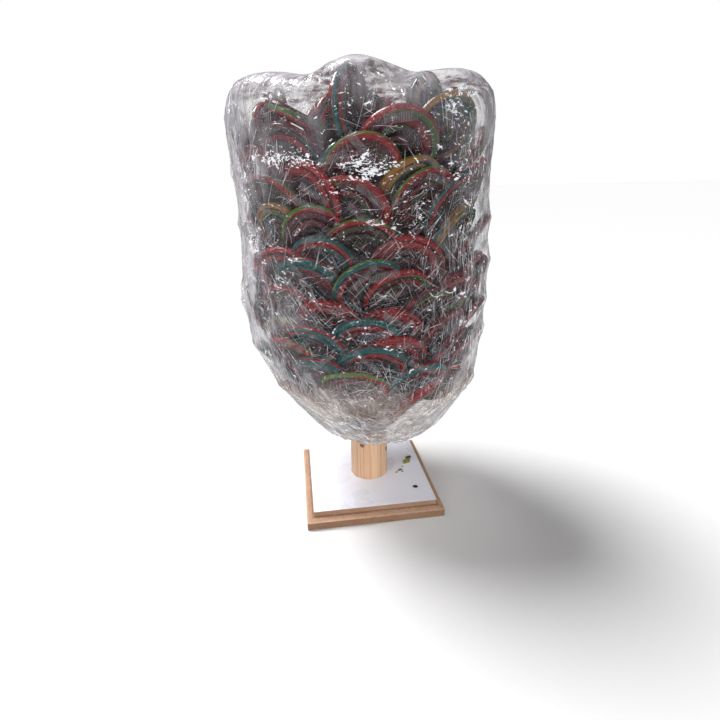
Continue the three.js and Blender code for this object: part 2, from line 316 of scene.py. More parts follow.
def heldUnder(middle, side, stick, normal):
    # Moves each lollipop inwards by as much as its rim pokes out past the outline
    angles = np.linspace(0, 2 * math.pi, 48, endpoint=False)
    circle = (np.cos(angles)[None, :, None] * side[:, None]
              + np.sin(angles)[None, :, None] * stick[:, None])
    edge = middle[:, None] + (planting["radius"] + planting["under"]) * circle
    half = 0.4 * planting["thickness"] * normal[:, None]
    azimuth, along, reach = bunchPlace(np.concatenate([edge + half, edge - half], 1))
    excess = (reach - outlineAt(azimuth, along)[0]).max(1)
    spine = np.stack([np.full(len(middle), postMiddle[0]), np.full(len(middle), postMiddle[1]), np.clip(
        middle[:, 2], whiteTop + bunchShape["spineLow"], whiteTop + bunchShape["spineHigh"])], -1)
    return middle - np.maximum(excess, 0)[:, None] * unit(middle - spine)


def settled(middle, side, stick, normal, ease):
    # Lollipops that pass through each other are moved apart along the face they cut, a little each
    # round: the points of one rim are measured from the plane of the other wherever they lie within
    # its circle. Ease is how readily each one gives way.
    radius, thickness = planting["radius"], planting["thickness"]
    angles = np.linspace(0, 2 * math.pi, 40, endpoint=False)
    circle = radius * (np.cos(angles)[None, :, None] * side[:, None]
                       + np.sin(angles)[None, :, None] * stick[:, None])
    circle = np.concatenate([circle, circle * 0.6], 1)
    start = middle.copy()
    most = np.where(ease < 1, planting["giveListed"], planting["giveOthers"])[:, None]
    for _ in range(planting["settleRounds"]):
        near = np.linalg.norm(middle[:, None] - middle[None], axis=-1) < 2 * radius
        first, second = np.nonzero(near & ~np.eye(len(middle), dtype=bool))
        points = middle[first][:, None] + circle[first] - middle[second][:, None]
        depth = np.sum(points * normal[second][:, None], -1)
        flat = np.linalg.norm(points - depth[..., None] * normal[second][:, None], axis=-1)
        inside = flat < radius
        lowest = np.where(inside, depth, 1e3).min(1)
        highest = np.where(inside, depth, -1e3).max(1)
        outwards = np.clip(thickness - lowest, 0, None)
        inwards = np.clip(thickness + highest, 0, None)
        needed = np.where(outwards < inwards, outwards, -inwards) * inside.any(1)
        step = planting["settleStep"]
        shift = planting["settlePace"] * np.clip(needed, -step, step)[:, None] * normal[second]
        share = (ease[first] / (ease[first] + ease[second]))[:, None]
        np.add.at(middle, first, shift * share)
        np.add.at(middle, second, shift * (share - 1))
        moved = middle - start
        far = np.linalg.norm(moved, axis=-1, keepdims=True)
        middle = start + moved * np.minimum(1, most / np.maximum(far, 1e-6))
        middle = heldUnder(middle, side, stick, normal)
    return middle


def lollipopFrames(chosen):
    # For each lollipop: middle, sideways axis, stick axis and face normal. The stick points out and up
    # by the lean for its height, bank turns both axes about the way out, twist turns the sideways one
    # about the stick, and the rim is kept under the film.
    azimuth, along, bank, twist, deep = (np.array([c[k] for c in chosen], float) for k in (0, 1, 3, 4, 7))
    bank, twist = np.radians(bank), np.radians(twist)
    reach, drift = outlineAt(azimuth, along)
    tip = bunchPoint(azimuth, along, reach - planting["under"] - deep, drift)
    out = np.stack([np.sin(azimuth), -np.cos(azimuth), 0 * azimuth], -1)
    side = np.stack([np.cos(azimuth), np.sin(azimuth), 0 * azimuth], -1)
    up = np.array([0.0, 0.0, 1.0])
    height = tip[:, 2] - whiteTop
    lean = np.radians(np.interp(height, planting["leanAt"], planting["lean"]))[:, None]
    stick = np.cos(lean) * out + np.sin(lean) * up
    stick, side = turned(stick, out, bank), turned(side, out, bank)
    side = turned(side, stick, twist)
    normal = np.cross(side, stick)
    middle = tip - planting["radius"] * stick
    for _ in range(3):
        middle = heldUnder(middle, side, stick, normal)
    ease = np.where(np.arange(len(middle)) < len(planting["front"]), planting["listedEase"], 1.0)
    middle = settled(middle, side, stick, normal, ease)
    return middle, side, stick, normal


chosenPlaces = plantLollipops()
lollyMiddle, lollySide, lollyStick, lollyNormal = lollipopFrames(chosenPlaces)
lollyKind = np.array([place[2] for place in chosenPlaces])
coilStart = np.array([place[5] for place in chosenPlaces])
leadStrand = np.array([place[6] for place in chosenPlaces])
print("planted", len(chosenPlaces), "lollipops")


sugar = {
    "red": (0.4, 0.018, 0.02, 1), "darkRed": (0.1, 0.006, 0.01, 1), "green": (0.07, 0.17, 0.025, 1),
    "teal": (0.014, 0.13, 0.13, 1), "amber": (0.45, 0.19, 0.015, 1), "violet": (0.045, 0.02, 0.08, 1),
    "leaf": (0.11, 0.24, 0.035, 1), "olive": (0.07, 0.06, 0.018, 1),
    # The last two colours are painted shade, for the grooves between turns and towards the coil's middle
    "thread": (0.75, 0.55, 0.5, 1), "groove": (0.03, 0.006, 0.008, 1), "inner": (0.022, 0.007, 0.01, 1),
}

# The strands of each kind of rope, in order round it and all as wide
ropeStrands = {
    "redGreen": ["red", "red", "green", "darkRed", "darkRed"],
    "redOnly": ["red", "darkRed", "red", "red"],
    "tealRed": ["red", "teal", "teal", "red", "teal"],
    "tealGreen": ["leaf", "teal", "red", "red", "darkRed"],
    "maroon": ["leaf", "red", "red", "darkRed", "darkRed", "darkRed"],
    "oliveRed": ["leaf", "red", "olive", "olive", "olive", "darkRed"],
    "amberTeal": ["amber", "teal", "amber", "green"],
    "darkRed": ["darkRed", "teal", "darkRed", "red"],
    "amberViolet": ["amber", "green", "violet", "teal"],
}


lolly = {
    "seed": 21,
    "turnWidth": 7.6,       # the coiled rope's pitch
    "groove": 0.42,         # how deep the groove between turns is, as a share of half the thickness
    "aroundSteps": 40,
    "frontRings": 17,
    "edgeRings": 5,
    "backRings": 5,
    "unevenness": 0.035,
    "edgeDepth": 0.55,      # how far the round edge stands out, as a share of half the thickness
    "mapSpan": 80,          # mm that the coil's flat map takes in
    "innerShade": 0.72,     # how far painted shade darkens the colours towards the middle of the coil
    "strandTwist": 0.65,    # how often the strands go round the rope in one turn of the coil
    "roughness": 0.24,
    "coat": 0.7,
    "coatRoughness": 0.1,
}


def makeLollipops(name, members):
    # A coil of rope pressed flat. A point is (r cos a, r sin a, z): over the faces z follows the
    # rope's round back, half thickness times (1 - groove + groove * sqrt(1 - s^2)), s running from
    # -1 to 1 across each turn of the spiral; round the edge z and r follow half a circle.
    draw = np.random.default_rng(lolly["seed"] + int(members[0]))
    radius, half, turnWidth = planting["radius"], planting["thickness"] / 2, lolly["turnWidth"]
    around = lolly["aroundSteps"]
    angle = np.linspace(0, 2 * math.pi, around, endpoint=False)
    edgeDepth, span = lolly["edgeDepth"] * half, lolly["mapSpan"]
    faceReach = radius - edgeDepth
    front = np.linspace(0.4, faceReach, lolly["frontRings"])
    edge = np.linspace(0.75, -0.75, lolly["edgeRings"]) * math.pi / 2
    back = np.linspace(faceReach, 0.4, lolly["backRings"])
    ringRadius = np.concatenate([front, faceReach + edgeDepth * np.cos(edge), back])
    ringSide = np.concatenate([np.ones(len(front)), np.sin(edge) * 0.92, -np.ones(len(back))])
    across = (radius - ringRadius[None]) / turnWidth + angle[:, None] / (2 * math.pi)
    share = 2 * (across % 1) - 1
    relief = 1 - lolly["groove"] + lolly["groove"] * np.sqrt(np.clip(1 - share ** 2, 0, 1))
    height = half * ringSide[None] * np.where(np.abs(ringSide[None]) > 0.95, relief, 0.86)
    count = len(members)
    size = 1 + lolly["unevenness"] * draw.normal(size=(count, 1, 1))
    start = math.pi / 2 - 2 * math.pi * coilStart[members][:, None, None]
    oval = 1 + 0.02 * np.sin(2 * angle[None, :, None] + start)
    flatAngle = angle[None, :, None] + start
    x = size * oval * ringRadius[None, None] * np.cos(flatAngle)
    y = size * oval * ringRadius[None, None] * np.sin(flatAngle)
    bow = 0.8 * draw.normal(size=(count, 1, 1)) * (ringRadius[None, None] / radius) ** 2
    z = height[None] + bow * np.cos(flatAngle)
    points = (lollyMiddle[members][:, None, None] + x[..., None] * lollySide[members][:, None, None]
              + y[..., None] * lollyStick[members][:, None, None]
              + z[..., None] * lollyNormal[members][:, None, None])
    rings = len(ringRadius)
    each = around * rings
    grid = np.arange(each).reshape(around, rings)
    ahead = np.roll(grid, -1, 0)
    quads = np.stack([grid[:, :-1], grid[:, 1:], ahead[:, 1:], ahead[:, :-1]], -1).reshape(-1, 4)
    quads = np.concatenate([quads, capStrip(grid[:, 0]), capStrip(grid[::-1, -1])])
    faces = (quads[None] + (np.arange(count) * each)[:, None, None]).reshape(-1, 4)
    flat = np.stack(np.broadcast_arrays(0.5 + ringRadius[None] * np.cos(angle[:, None]) / span,
                                        0.5 + ringRadius[None] * np.sin(angle[:, None]) / span), -1)
    uv = np.broadcast_to(flat[None], (count,) + flat.shape).reshape(-1, 2)
    side = np.broadcast_to((height / half)[None], (count, around, rings))
    strands = len(ropeStrands[lollyKind[members[0]]])
    phase = (leadStrand[members] + 0.5) / strands + lolly["strandTwist"] * coilStart[members]
    phase = np.broadcast_to(phase[:, None, None], (count, around, rings))
    return makeMesh(name, points.reshape(-1, 3), faces, uv, {"side": side, "phase": phase})


sticks = {
    "seed": 5,
    "radius": 1.9,
    "sides": 8,
    "rings": 3,
    "intoCoil": 0.7,        # where one starts, as a share of the lollipop's radius
    "fall": 1.15,           # mm down for each mm inwards
    "lowest": 58,           # height above the white face where the lowest meet the post
    "belowTop": 8,          # and how far below the post's top the highest do
    "intoPost": 3,
}


def makeSticks():
    # Straight round sticks from inside each coil down to the post: circles carried along a line
    draw = np.random.default_rng(sticks["seed"])
    count, sides, rings = len(lollyMiddle), sticks["sides"], sticks["rings"]
    start = lollyMiddle - sticks["intoCoil"] * planting["radius"] * lollyStick
    away = start[:, :2] - postMiddle
    level = np.clip(start[:, 2] - sticks["fall"] * np.hypot(away[:, 0], away[:, 1]),
                    whiteTop + sticks["lowest"], postHigh[2] - sticks["belowTop"])
    toPost, deep = np.arctan2(away[:, 1], away[:, 0]), postRadius - sticks["intoPost"]
    end = np.stack([postMiddle[0] + deep * np.cos(toPost), postMiddle[1] + deep * np.sin(toPost),
                    level + draw.normal(size=count)], -1)
    axis = unit(end - start)
    first = unit(np.cross(axis, [0.0, 0.0, 1.0]) + 1e-6)
    second = np.cross(axis, first)
    angle = np.linspace(0, 2 * math.pi, sides, endpoint=False)
    ring = sticks["radius"] * (np.cos(angle)[None, :, None] * first[:, None]
                               + np.sin(angle)[None, :, None] * second[:, None])
    share = np.linspace(0, 1, rings)
    line = start[:, None] + share[None, :, None] * (end - start)[:, None]
    points = (line[:, :, None] + ring[:, None]).reshape(-1, 3)
    each = rings * sides
    tube = np.concatenate([gridFaces(rings, sides, wrap=True), capStrip(np.arange(sides)[::-1]),
                           capStrip(np.arange(each - sides, each))])
    faces = (tube[None] + (np.arange(count) * each)[:, None, None]).reshape(-1, 4)
    return makeMesh("lolly_sticks", points, faces)


film = {
    "aroundSteps": 420,
    "alongSteps": 232,
    "rounds": 420,
    "pull": 0.0125,         # how much deeper than its neighbours a free cell settles each round
    "sagLimit": 4.5,
    "sagAtNeck": 1,
    "seed": 3,
    "creases": 620,
    "creaseLength": (8, 38),
    "creaseDepth": (0.35, 1.5),
    "topHaze": 0.12,        # on the flat top
    "mapTurn": 2.4 * math.pi,   # what a full turn is worth in the film's own map, in decimetres
    # azimuth, height, width in degrees, width in mm, amount: many layers lie here
    "haze": [
        (-62, 385, 17, 34, 0.36), (-68, 330, 17, 40, 0.5), (-70, 265, 16, 45, 0.34), (-66, 200, 15, 40, 0.35),
        (-30, 398, 22, 9, 0.4), (12, 393, 13, 12, 0.4), (-24, 372, 5, 22, 0.35), (47, 385, 6, 25, 0.15),
        (58, 384, 13, 34, 0.35), (62, 325, 9, 36, 0.25), (62, 262, 8, 40, 0.02), (60, 200, 9, 36, 0.15),
        (46, 281, 5, 9, 0.7), (41, 252, 4, 6, 0.4), (22, 372, 7, 14, 0.25), (8, 388, 16, 14, 0.28),
        (-13, 108, 12, 19, -0.6), (-38, 135, 13, 22, 0.16), (15, 138, 14, 20, -0.28),
        (-46, 345, 12, 14, 0.3), (-40, 230, 10, 30, 0.15),
        (90, 380, 25, 30, 0.4), (150, 390, 40, 25, 0.4), (-130, 385, 35, 25, 0.4), (120, 250, 20, 60, 0.25),
        (-150, 280, 25, 50, 0.25), (180, 200, 30, 40, 0.2),
    ],
    # the same for painted glints: white patches over crumples, which also glow
    "paintedShine": [
        (-38, 347, 12, 7, 1.0), (-6, 338, 11, 9, 1.1), (-60, 283, 5, 12, 0.8), (-27, 397, 16, 5, 0.55),
        (-11, 385, 8, 12, 0.5), (28, 385, 6, 16, 0.8), (14, 312, 6, 12, 0.5), (38, 310, 8, 30, 0.4),
        (-20, 325, 9, 9, 0.5), (-62, 330, 7, 25, 0.6), (30, 345, 9, 20, 0.5), (4, 300, 9, 12, 0.35),
        (-45, 250, 14, 40, 0.3), (35, 250, 12, 40, 0.3), (-5, 215, 20, 20, 0.3), (95, 330, 20, 20, 0.8),
        (140, 260, 22, 22, 0.7), (-110, 340, 20, 20, 0.8), (-150, 220, 22, 22, 0.6), (180, 350, 20, 16, 0.8),
        (75, 220, 14, 24, 0.5), (-85, 220, 14, 24, 0.5),
    ],
}


hem = {
    "steps": 8,
    "height": 52.5,         # above the white face
    "gap": 0.5,             # off the post
    "pleat": 1.1,
    "haze": 0.12,
    # azimuth, drop, half width in degrees
    "tails": [
        (-48, 2, 9), (-14.5, 9, 9), (17, 9, 9), (72, 4, 9),
        (118, 7, 9), (171, 5, 9), (-146, 8, 9), (-92, 6, 9),
    ],
}


def patchField(patches, azimuth, height):
    # Bells on the film, wide by degrees round it and by millimetres up it
    total = np.zeros(azimuth.shape)
    for degrees, level, wide, tall, amount in patches:
        turn = (np.degrees(azimuth) - degrees + 180) % 360 - 180
        total += amount * np.exp(-(turn / wide) ** 2 - ((height - level) / tall) ** 2)
    return total


def rimHold(around, along):
    # For each cell of film, the furthest reach of the lollipops under it; far inside where there are none
    angles = np.linspace(0, 2 * math.pi, 120, endpoint=False)
    levels = np.linspace(-1, 1, 5) * planting["thickness"] / 2
    circle = (np.cos(angles)[None, :, None] * lollySide[:, None]
              + np.sin(angles)[None, :, None] * lollyStick[:, None])
    sized = [circle * share * planting["radius"] for share in (0.55, 0.7, 0.84, 0.94, 1.0)]
    edge = np.stack([lollyMiddle[:, None] + ring for ring in sized], 1)
    edge = edge[:, :, :, None] + levels[None, None, None, :, None] * lollyNormal[:, None, None, None]
    edge = edge.reshape(-1, 3)
    azimuth, place, reach = bunchPlace(edge)
    hold = np.full((len(along), len(around)), -1e3)
    level = np.rint((place - along[0]) / (along[1] - along[0])).astype(int)
    column = np.rint((azimuth - around[0]) / (around[1] - around[0])).astype(int) % len(around)
    inside = (level >= 0) & (level < len(along))
    np.maximum.at(hold, (level[inside], column[inside]), reach[inside])
    return hold


def drawnTight(around, along):
    # Film sags under its own pull until the rims hold it. Each round a cell's sag is the mean of its
    # neighbours' plus the pull, with those across weighed by (step along / step across)^2, and it is
    # never more than the rims under it or the limit allow.
    azimuth, place = np.meshgrid(around, along)
    outline, _ = outlineAt(azimuth, place)
    hold = rimHold(around, along)
    radius = fromFan(place, outline)[1]
    step = along[1] - along[0]
    grip = (step / np.maximum(radius * (around[1] - around[0]), 0.2)) ** 2
    grip = np.minimum(grip, 40)
    limit = film["sagAtNeck"] + (film["sagLimit"] - film["sagAtNeck"]) * smoothStep(along[0], -60, place)
    held = np.minimum(np.maximum(outline - hold, 0), limit)
    sag = limit * 0.5
    pull = film["pull"] * 2
    for _ in range(film["rounds"]):
        above = np.vstack([sag[1:], sag[-1:]])
        below = np.vstack([sag[:1] * 0, sag[:-1]])
        across = np.roll(sag, 1, 1) + np.roll(sag, -1, 1)
        sag = np.minimum((across * grip + above + below + 2 * pull) / (2 * grip + 2), held)
    return azimuth, place, outline, sag, outline - sag - hold


def creaseField(azimuth, along):
    # Straight folds thrown over the film: each adds amount * exp(-distance / width) *
    # exp(-(run / length)^2), where run and distance are measured along it and off it
    draw = np.random.default_rng(film["seed"])
    perRadian = 120         # mm round the film
    u, v = azimuth * perRadian, along
    total, lines = np.zeros_like(u), np.zeros_like(u)
    for _ in range(film["creases"]):
        cu, cv = draw.uniform(0, 2 * math.pi * perRadian), draw.uniform(along.min(), along.max())
        tilt = draw.choice([0.25, 0.9, -0.8, 1.45, -0.3]) + 0.25 * draw.normal()
        length, width = draw.uniform(*film["creaseLength"]), draw.uniform(1.2, 3.4)
        amount = draw.uniform(*film["creaseDepth"]) * draw.choice([-0.6, 1])
        du = (u - cu + math.pi * perRadian) % (2 * math.pi * perRadian) - math.pi * perRadian
        dv = v - cv
        run = du * math.cos(tilt) + dv * math.sin(tilt)
        off = -du * math.sin(tilt) + dv * math.cos(tilt) + 0.004 * run * run * draw.normal()
        window = np.exp(-(run / length) ** 2)
        total += amount * np.exp(-np.abs(off) / width) * window
        lines += abs(amount) * np.exp(-(off / 0.9) ** 2) * window
    return total, lines


def makeFilm(name):
    # A surface over the azimuth and the distance along the outline. Its reach is the outline's less the
    # sag, plus folds that die out at the foot and the top's middle, plus pleats, a sum of three sines
    # round it, that grow towards the foot.
    aroundSteps, alongSteps = film["aroundSteps"], film["alongSteps"]
    around = np.linspace(-math.pi, math.pi, aroundSteps, endpoint=False)
    along = np.linspace(outlineAlong[0], outlineAlong[-1] - 1.5, alongSteps)
    drift = np.interp(along, outlineAlong, outlineDrift)
    azimuth, place, outline, sag, gap = drawnTight(around, along)
    folds, lines = creaseField(azimuth, place)
    height, radius = fromFan(place, outline)
    calm = smoothStep(4, 40, radius) * smoothStep(0, 25, place - along[0])
    gather = smoothStep(70, 10, place - along[0]) * smoothStep(0, 8, place - along[0])
    pleats = gather * (1.9 * np.sin(azimuth * 23 + 1.5 * np.sin(azimuth * 5)) + 1.1 * np.sin(azimuth * 41 + 2)
                       + 1.6 * np.sin(azimuth * 9 + 1 + 0.02 * place) - 1.5)
    reach = outline - sag + calm * folds + pleats
    points = bunchPoint(azimuth, place, reach, drift[:, None])
    topRow = (alongSteps - 1) * aroundSteps + np.arange(aroundSteps)
    faces = np.concatenate([gridFaces(alongSteps, aroundSteps, wrap=True), capStrip(topRow)])
    uv = np.stack([azimuth * 1.2, place / 100], -1).reshape(-1, 2)
    far = smoothStep(1.0, 14, np.minimum(gap, 60))
    top = smoothStep(396, 408, height)
    haze = patchField(film["haze"], azimuth, height) + film["topHaze"] * top
    marks = {"far": far, "crease": lines, "haze": haze, "paintedShine": patchField(film["paintedShine"], azimuth, height)}
    piece = makeMesh(name, points.reshape(-1, 3), faces, uv, marks, uvTurn=film["mapTurn"])
    return piece, (around, along, drift, reach, far)


def makeHem(name, grid):
    # From the film's lowest row inwards to the post and down along it, by a share from 0 to 1: radius
    # goes from the row's own to the post's plus a pleated gap as sin(share)^0.8, and height goes to an
    # edge with pointed tails as share^1.5
    around, along, drift, reach, _ = grid
    share = np.linspace(0, 1, hem["steps"])[:, None]
    height, radius = fromFan(along[0], reach[0])
    tails = np.zeros(len(around))
    for degrees, drop, wide in hem["tails"]:
        turn = (np.degrees(around) - degrees + 180) % 360 - 180
        tails = np.maximum(tails, drop * np.clip(1 - np.abs(turn) / wide, 0, 1))
    ragged = 0.7 * np.sin(around * 31 + 2 * np.sin(around * 7)) + 0.4 * np.sin(around * 57)
    lowest = hem["height"] - tails + ragged
    wave = np.sin(around * 26 + np.sin(around * 9))
    ends = postRadius + (hem["gap"] + hem["pleat"] * (1 + wave) / 2)
    inward = np.sin(share * math.pi / 2) ** 0.8
    radii = radius + (ends - radius) * inward
    heights = height + (lowest - height) * share ** 1.5
    points = np.stack([
        postMiddle[0] + drift[0] * (1 - share) + radii * np.sin(around),
        postMiddle[1] - radii * np.cos(around),
        whiteTop + heights,
    ], -1)
    faces = gridFaces(hem["steps"], len(around), wrap=True)[:, ::-1]
    uv = np.stack(np.broadcast_arrays(around * 1.2, (along[0] + heights - height) / 100), -1).reshape(-1, 2)
    none = heights * 0
    marks = {"far": none, "crease": none + 0.25 * (wave > 0.6), "haze": none + hem["haze"], "paintedShine": none}
    return makeMesh(name, points.reshape(-1, 3), faces, uv, marks, uvTurn=film["mapTurn"])


def filmReach(grid, azimuth, place, field=3):
    # Reach of the finished film at any place, straight between the points of its grid; field 4 gives
    # how far it stands off its contents instead
    around, along, reach = grid[0], grid[1], grid[field]
    column = (azimuth - around[0]) / (around[1] - around[0])
    row = np.clip((place - along[0]) / (along[1] - along[0]), 0, len(along) - 1.001)
    c0, r0 = np.floor(column).astype(int), np.floor(row).astype(int)
    cs, rs = column - c0, row - r0
    c0, c1 = c0 % len(around), (c0 + 1) % len(around)
    return ((reach[r0, c0] * (1 - cs) + reach[r0, c1] * cs) * (1 - rs)
            + (reach[r0 + 1, c0] * (1 - cs) + reach[r0 + 1, c1] * cs) * rs)


foldLines = {
    "seed": 11,
    "bundles": 1650,
    "inBundle": 6,          # on average
    "onRims": 0.12,         # share kept where the film touches a rim
    "spread": (9.0, 5.0),   # scatter of a bundle, along and across
    "length": (4, 26),
    "width": (0.035, 0.24),
    "height": 0.22,
    "between": (68, 395),   # heights above the white face
    # share, azimuth, height, width in degrees, width in mm, slant in degrees from level, scatter of slants
    "zones": [
        (0.17, -5, 245, 42, 55, 38, 16), (0.14, -8, 235, 42, 50, -48, 16), (0.10, 36, 255, 14, 75, 84, 9),
        (0.10, -25, 160, 45, 35, 55, 30), (0.08, 20, 155, 40, 30, -55, 30), (0.09, 0, 340, 45, 35, 30, 40),
        (0.05, -55, 330, 14, 70, 80, 20), (0.12, -32, 98, 24, 24, -52, 22), (0.12, 26, 98, 26, 24, 52, 22),
        (0.08, 0, 100, 50, 26, 0, 25), (0.09, 120, 240, 60, 90, 50, 50), (0.08, -130, 240, 60, 90, -50, 50),
    ],
}


def makeFoldLines(name, grid):
    # Thin sharp folds on the film, in bundles that lie nearly parallel: each is a slightly bent run in
    # the film's own map, off = bend * run^2, carried on the film, with a small tent for its section
    # whose width goes as 1 - run^2 to both ends
    draw = np.random.default_rng(foldLines["seed"])
    zones = np.array(foldLines["zones"], float)
    pick = draw.choice(len(zones), foldLines["bundles"], p=zones[:, 0] / zones[:, 0].sum())
    zone = zones[pick]
    bundles = len(zone)
    middleAzimuth = np.radians(zone[:, 1] + zone[:, 3] * draw.normal(size=bundles) * 0.7)
    middleHeight = np.clip(zone[:, 2] + zone[:, 4] * draw.normal(size=bundles) * 0.7, *foldLines["between"])
    slant = np.radians(zone[:, 5] + zone[:, 6] * draw.normal(size=bundles))
    scale = draw.uniform(0.5, 1.0, bundles) ** 1.5
    which = np.repeat(np.arange(bundles), draw.poisson(foldLines["inBundle"], bundles))
    count = len(which)
    spread = draw.normal(size=(count, 2)) * np.array(foldLines["spread"])
    angle = slant[which] + 0.12 * draw.normal(size=count)
    length = draw.uniform(*foldLines["length"], count) * scale[which]
    low, high = foldLines["width"]
    bright = draw.uniform(0, 1, count) ** 2.5
    width = low + (high - low) * bright * draw.uniform(0.3, 1, count)
    bend = 0.0025 * draw.normal(size=count)
    radius = np.interp(middleHeight[which], sideCurve[:, 2], sideCurve[:, 0])
    middleAlong = toFan(middleHeight[which], radius)[0]
    stations = np.linspace(-0.5, 0.5, 5)
    run = stations[None] * length[:, None]
    across = np.array([-0.5, 0, 0.5])
    narrow = (1 - (2 * stations) ** 2)[None, :, None] * 0.9 + 0.1
    off = (spread[:, 1, None, None] + bend[:, None, None] * run[..., None] ** 2
           + across * width[:, None, None] * narrow)
    run = run[..., None] + spread[:, 0, None, None]
    c, t = np.cos(angle)[:, None, None], np.sin(angle)[:, None, None]
    aside = (run * c - off * t) / np.maximum(radius, 40)[:, None, None]
    azimuth = middleAzimuth[which][:, None, None] + aside
    place = np.clip(middleAlong[:, None, None] + run * t + off * c, grid[1][4], grid[1][-6])
    # Where the film lies tight on a rim most of them are left out
    loose = filmReach(grid, azimuth[:, 2, 1], place[:, 2, 1], field=4)
    chance = foldLines["onRims"] + (1 - foldLines["onRims"]) * smoothStep(0.1, 0.6, loose)
    kept = draw.uniform(size=count) < chance
    azimuth, place, bright, count = azimuth[kept], place[kept], bright[kept], int(kept.sum())
    level = filmReach(grid, azimuth, place)
    tent = np.array([0.02, 1, 0.02]) * foldLines["height"] + 0.05
    points = bunchPoint(azimuth, place, level + tent, np.interp(place, outlineAlong, outlineDrift))
    each = len(stations) * len(across)
    strip = gridFaces(len(stations), len(across))[:, ::-1]
    faces = (strip[None] + (np.arange(count) * each)[:, None, None]).reshape(-1, 4)
    return makeMesh(name, points.reshape(-1, 3), faces, None, {"bright": np.repeat(bright, each)})


wrapper = {
    "seed": 31,
    "halfWide": 34.5,
    "below": 40,            # from the lollipop's middle down the stick
    "above": 34.5,
    "steps": 12,
    "puff": 5.2,            # from the lollipop's middle plane to the sheet, at its middle
    "wrinkle": 0.5,
    "mapSpan": 80,          # mm that the sleeve's flat map takes in
    "sealWide": 26,
    "sealTall": 5.5,
    "ribs": 21,
    "ribHeight": 0.45,
    "sealUnder": 1.2,       # how deep under the film a seal lies
}


def makeWrappers(name, grid):
    # Clear sleeves: two sheets over each lollipop, sealed round their edges. In the lollipop's own frame
    # a sheet is (a, b, side * puff * (1 - a^6) * (1 - b^6)), a and b running from -1 to 1, with
    # wrinkles that run in from the ends; where that would pass the film it lies just under it.
    draw = np.random.default_rng(wrapper["seed"])
    steps, count = wrapper["steps"], len(lollyMiddle)
    share = np.linspace(-1, 1, steps + 1)
    across, up = np.meshgrid(share, share)
    span = np.hypot(across, up)
    pull = 1 / np.maximum(1, span / 1.1)            # square corners are drawn in round the lollipop
    a = across * wrapper["halfWide"] * pull
    b = np.where(up > 0, up * wrapper["above"], up * wrapper["below"]) * pull
    swell = np.clip(1 - across ** 6, 0, 1) * np.clip(1 - up ** 6, 0, 1)
    phase = draw.uniform(0, 6.3, (count, 2, 1, 1))
    folds = (np.sin(7 * across + phase[:, :1] + 1.5 * up) * np.abs(up) ** 2
             + np.sin(5 * up + phase[:, 1:] + across))
    lift = wrapper["puff"] * swell + wrapper["wrinkle"] * folds[:, 0] * swell
    points = []
    for face in (1, -1):
        points.append(lollyMiddle[:, None, None] + a[None, ..., None] * lollySide[:, None, None]
                      + b[None, ..., None] * lollyStick[:, None, None]
                      + face * lift[..., None] * lollyNormal[:, None, None])
    points = np.stack(points, 1)
    azimuth, along, reach = bunchPlace(points)
    reach = np.minimum(reach, filmReach(grid, azimuth, along) - 0.6)
    points = bunchPoint(azimuth, along, reach, np.interp(along, outlineAlong, outlineDrift))
    sheet = gridFaces(steps + 1, steps + 1)
    both = np.concatenate([sheet, sheet[:, ::-1] + (steps + 1) ** 2])
    faces = (both[None] + (np.arange(count) * 2 * (steps + 1) ** 2)[:, None, None]).reshape(-1, 4)
    flat = np.stack([a / wrapper["mapSpan"] + 0.5, b / wrapper["mapSpan"] + 0.5], -1)
    uv = np.broadcast_to(flat[None, None], (count, 2) + flat.shape).reshape(-1, 2)
    return makeMesh(name, points.reshape(-1, 3), faces, uv)


def makeSeals(name, grid):
    # The sleeves' crimped ends, laid flat just under the film: slightly wavy strips, each with every
    # second cross line raised into a rib
    draw = np.random.default_rng(wrapper["seed"] + 1)
    count, columns = len(lollyMiddle), 2 * wrapper["ribs"]
    tip = lollyMiddle + planting["radius"] * lollyStick
    azimuth, along, _ = bunchPlace(tip)
    angle = np.where(draw.uniform(size=count) < 0.5, 0.15, -0.5) + 0.35 * draw.normal(size=count)
    u = np.linspace(-0.5, 0.5, columns + 1) * wrapper["sealWide"]
    v = np.array([-0.5, 0.5]) * wrapper["sealTall"]
    u, v = np.meshgrid(u, v)
    along = along + draw.uniform(-16, 4, count)
    azimuth = azimuth + draw.normal(size=count) * 0.06
    c, t = np.cos(angle)[:, None, None], np.sin(angle)[:, None, None]
    v = v[None] + 0.8 * np.sin(u[None] * 0.12 + draw.uniform(0, 6, (count, 1, 1)))
    reach, _ = outlineAt(azimuth, along)
    radius = np.maximum(fromFan(along, reach)[1], 40)[:, None, None]
    place = along[:, None, None] + u * t + v * c
    turn = azimuth[:, None, None] + (u * c - v * t) / radius
    ribs = wrapper["ribHeight"] * (np.arange(columns + 1) % 2)[None, None]
    reach = filmReach(grid, turn, place) - wrapper["sealUnder"] + ribs
    points = bunchPoint(turn, place, reach, np.interp(place, outlineAlong, outlineDrift))
    strip = gridFaces(2, columns + 1)
    faces = (strip[None] + (np.arange(count) * 2 * (columns + 1))[:, None, None]).reshape(-1, 4)
    rib = np.broadcast_to((np.arange(columns + 1) % 2)[None, None], (count, 2, columns + 1)).ravel()
    return makeMesh(name, points.reshape(-1, 3), faces, None, {"rib": rib}, smooth=False)


def newMaterial(name):
    # An empty material with its one surface shader
    material = bpy.data.materials.new(name)
    material.use_nodes = True
    tree = material.node_tree
    tree.nodes.clear()
    output = tree.nodes.new("ShaderNodeOutputMaterial")
    shader = tree.nodes.new("ShaderNodeBsdfPrincipled")
    tree.links.new(shader.outputs[0], output.inputs[0])
    return material, tree, shader


def plug(tree, socket, value):
    # A socket takes a link from another socket, or a plain value
    if isinstance(value, bpy.types.NodeSocket):
        tree.links.new(value, socket)
    else:
        socket.default_value = value


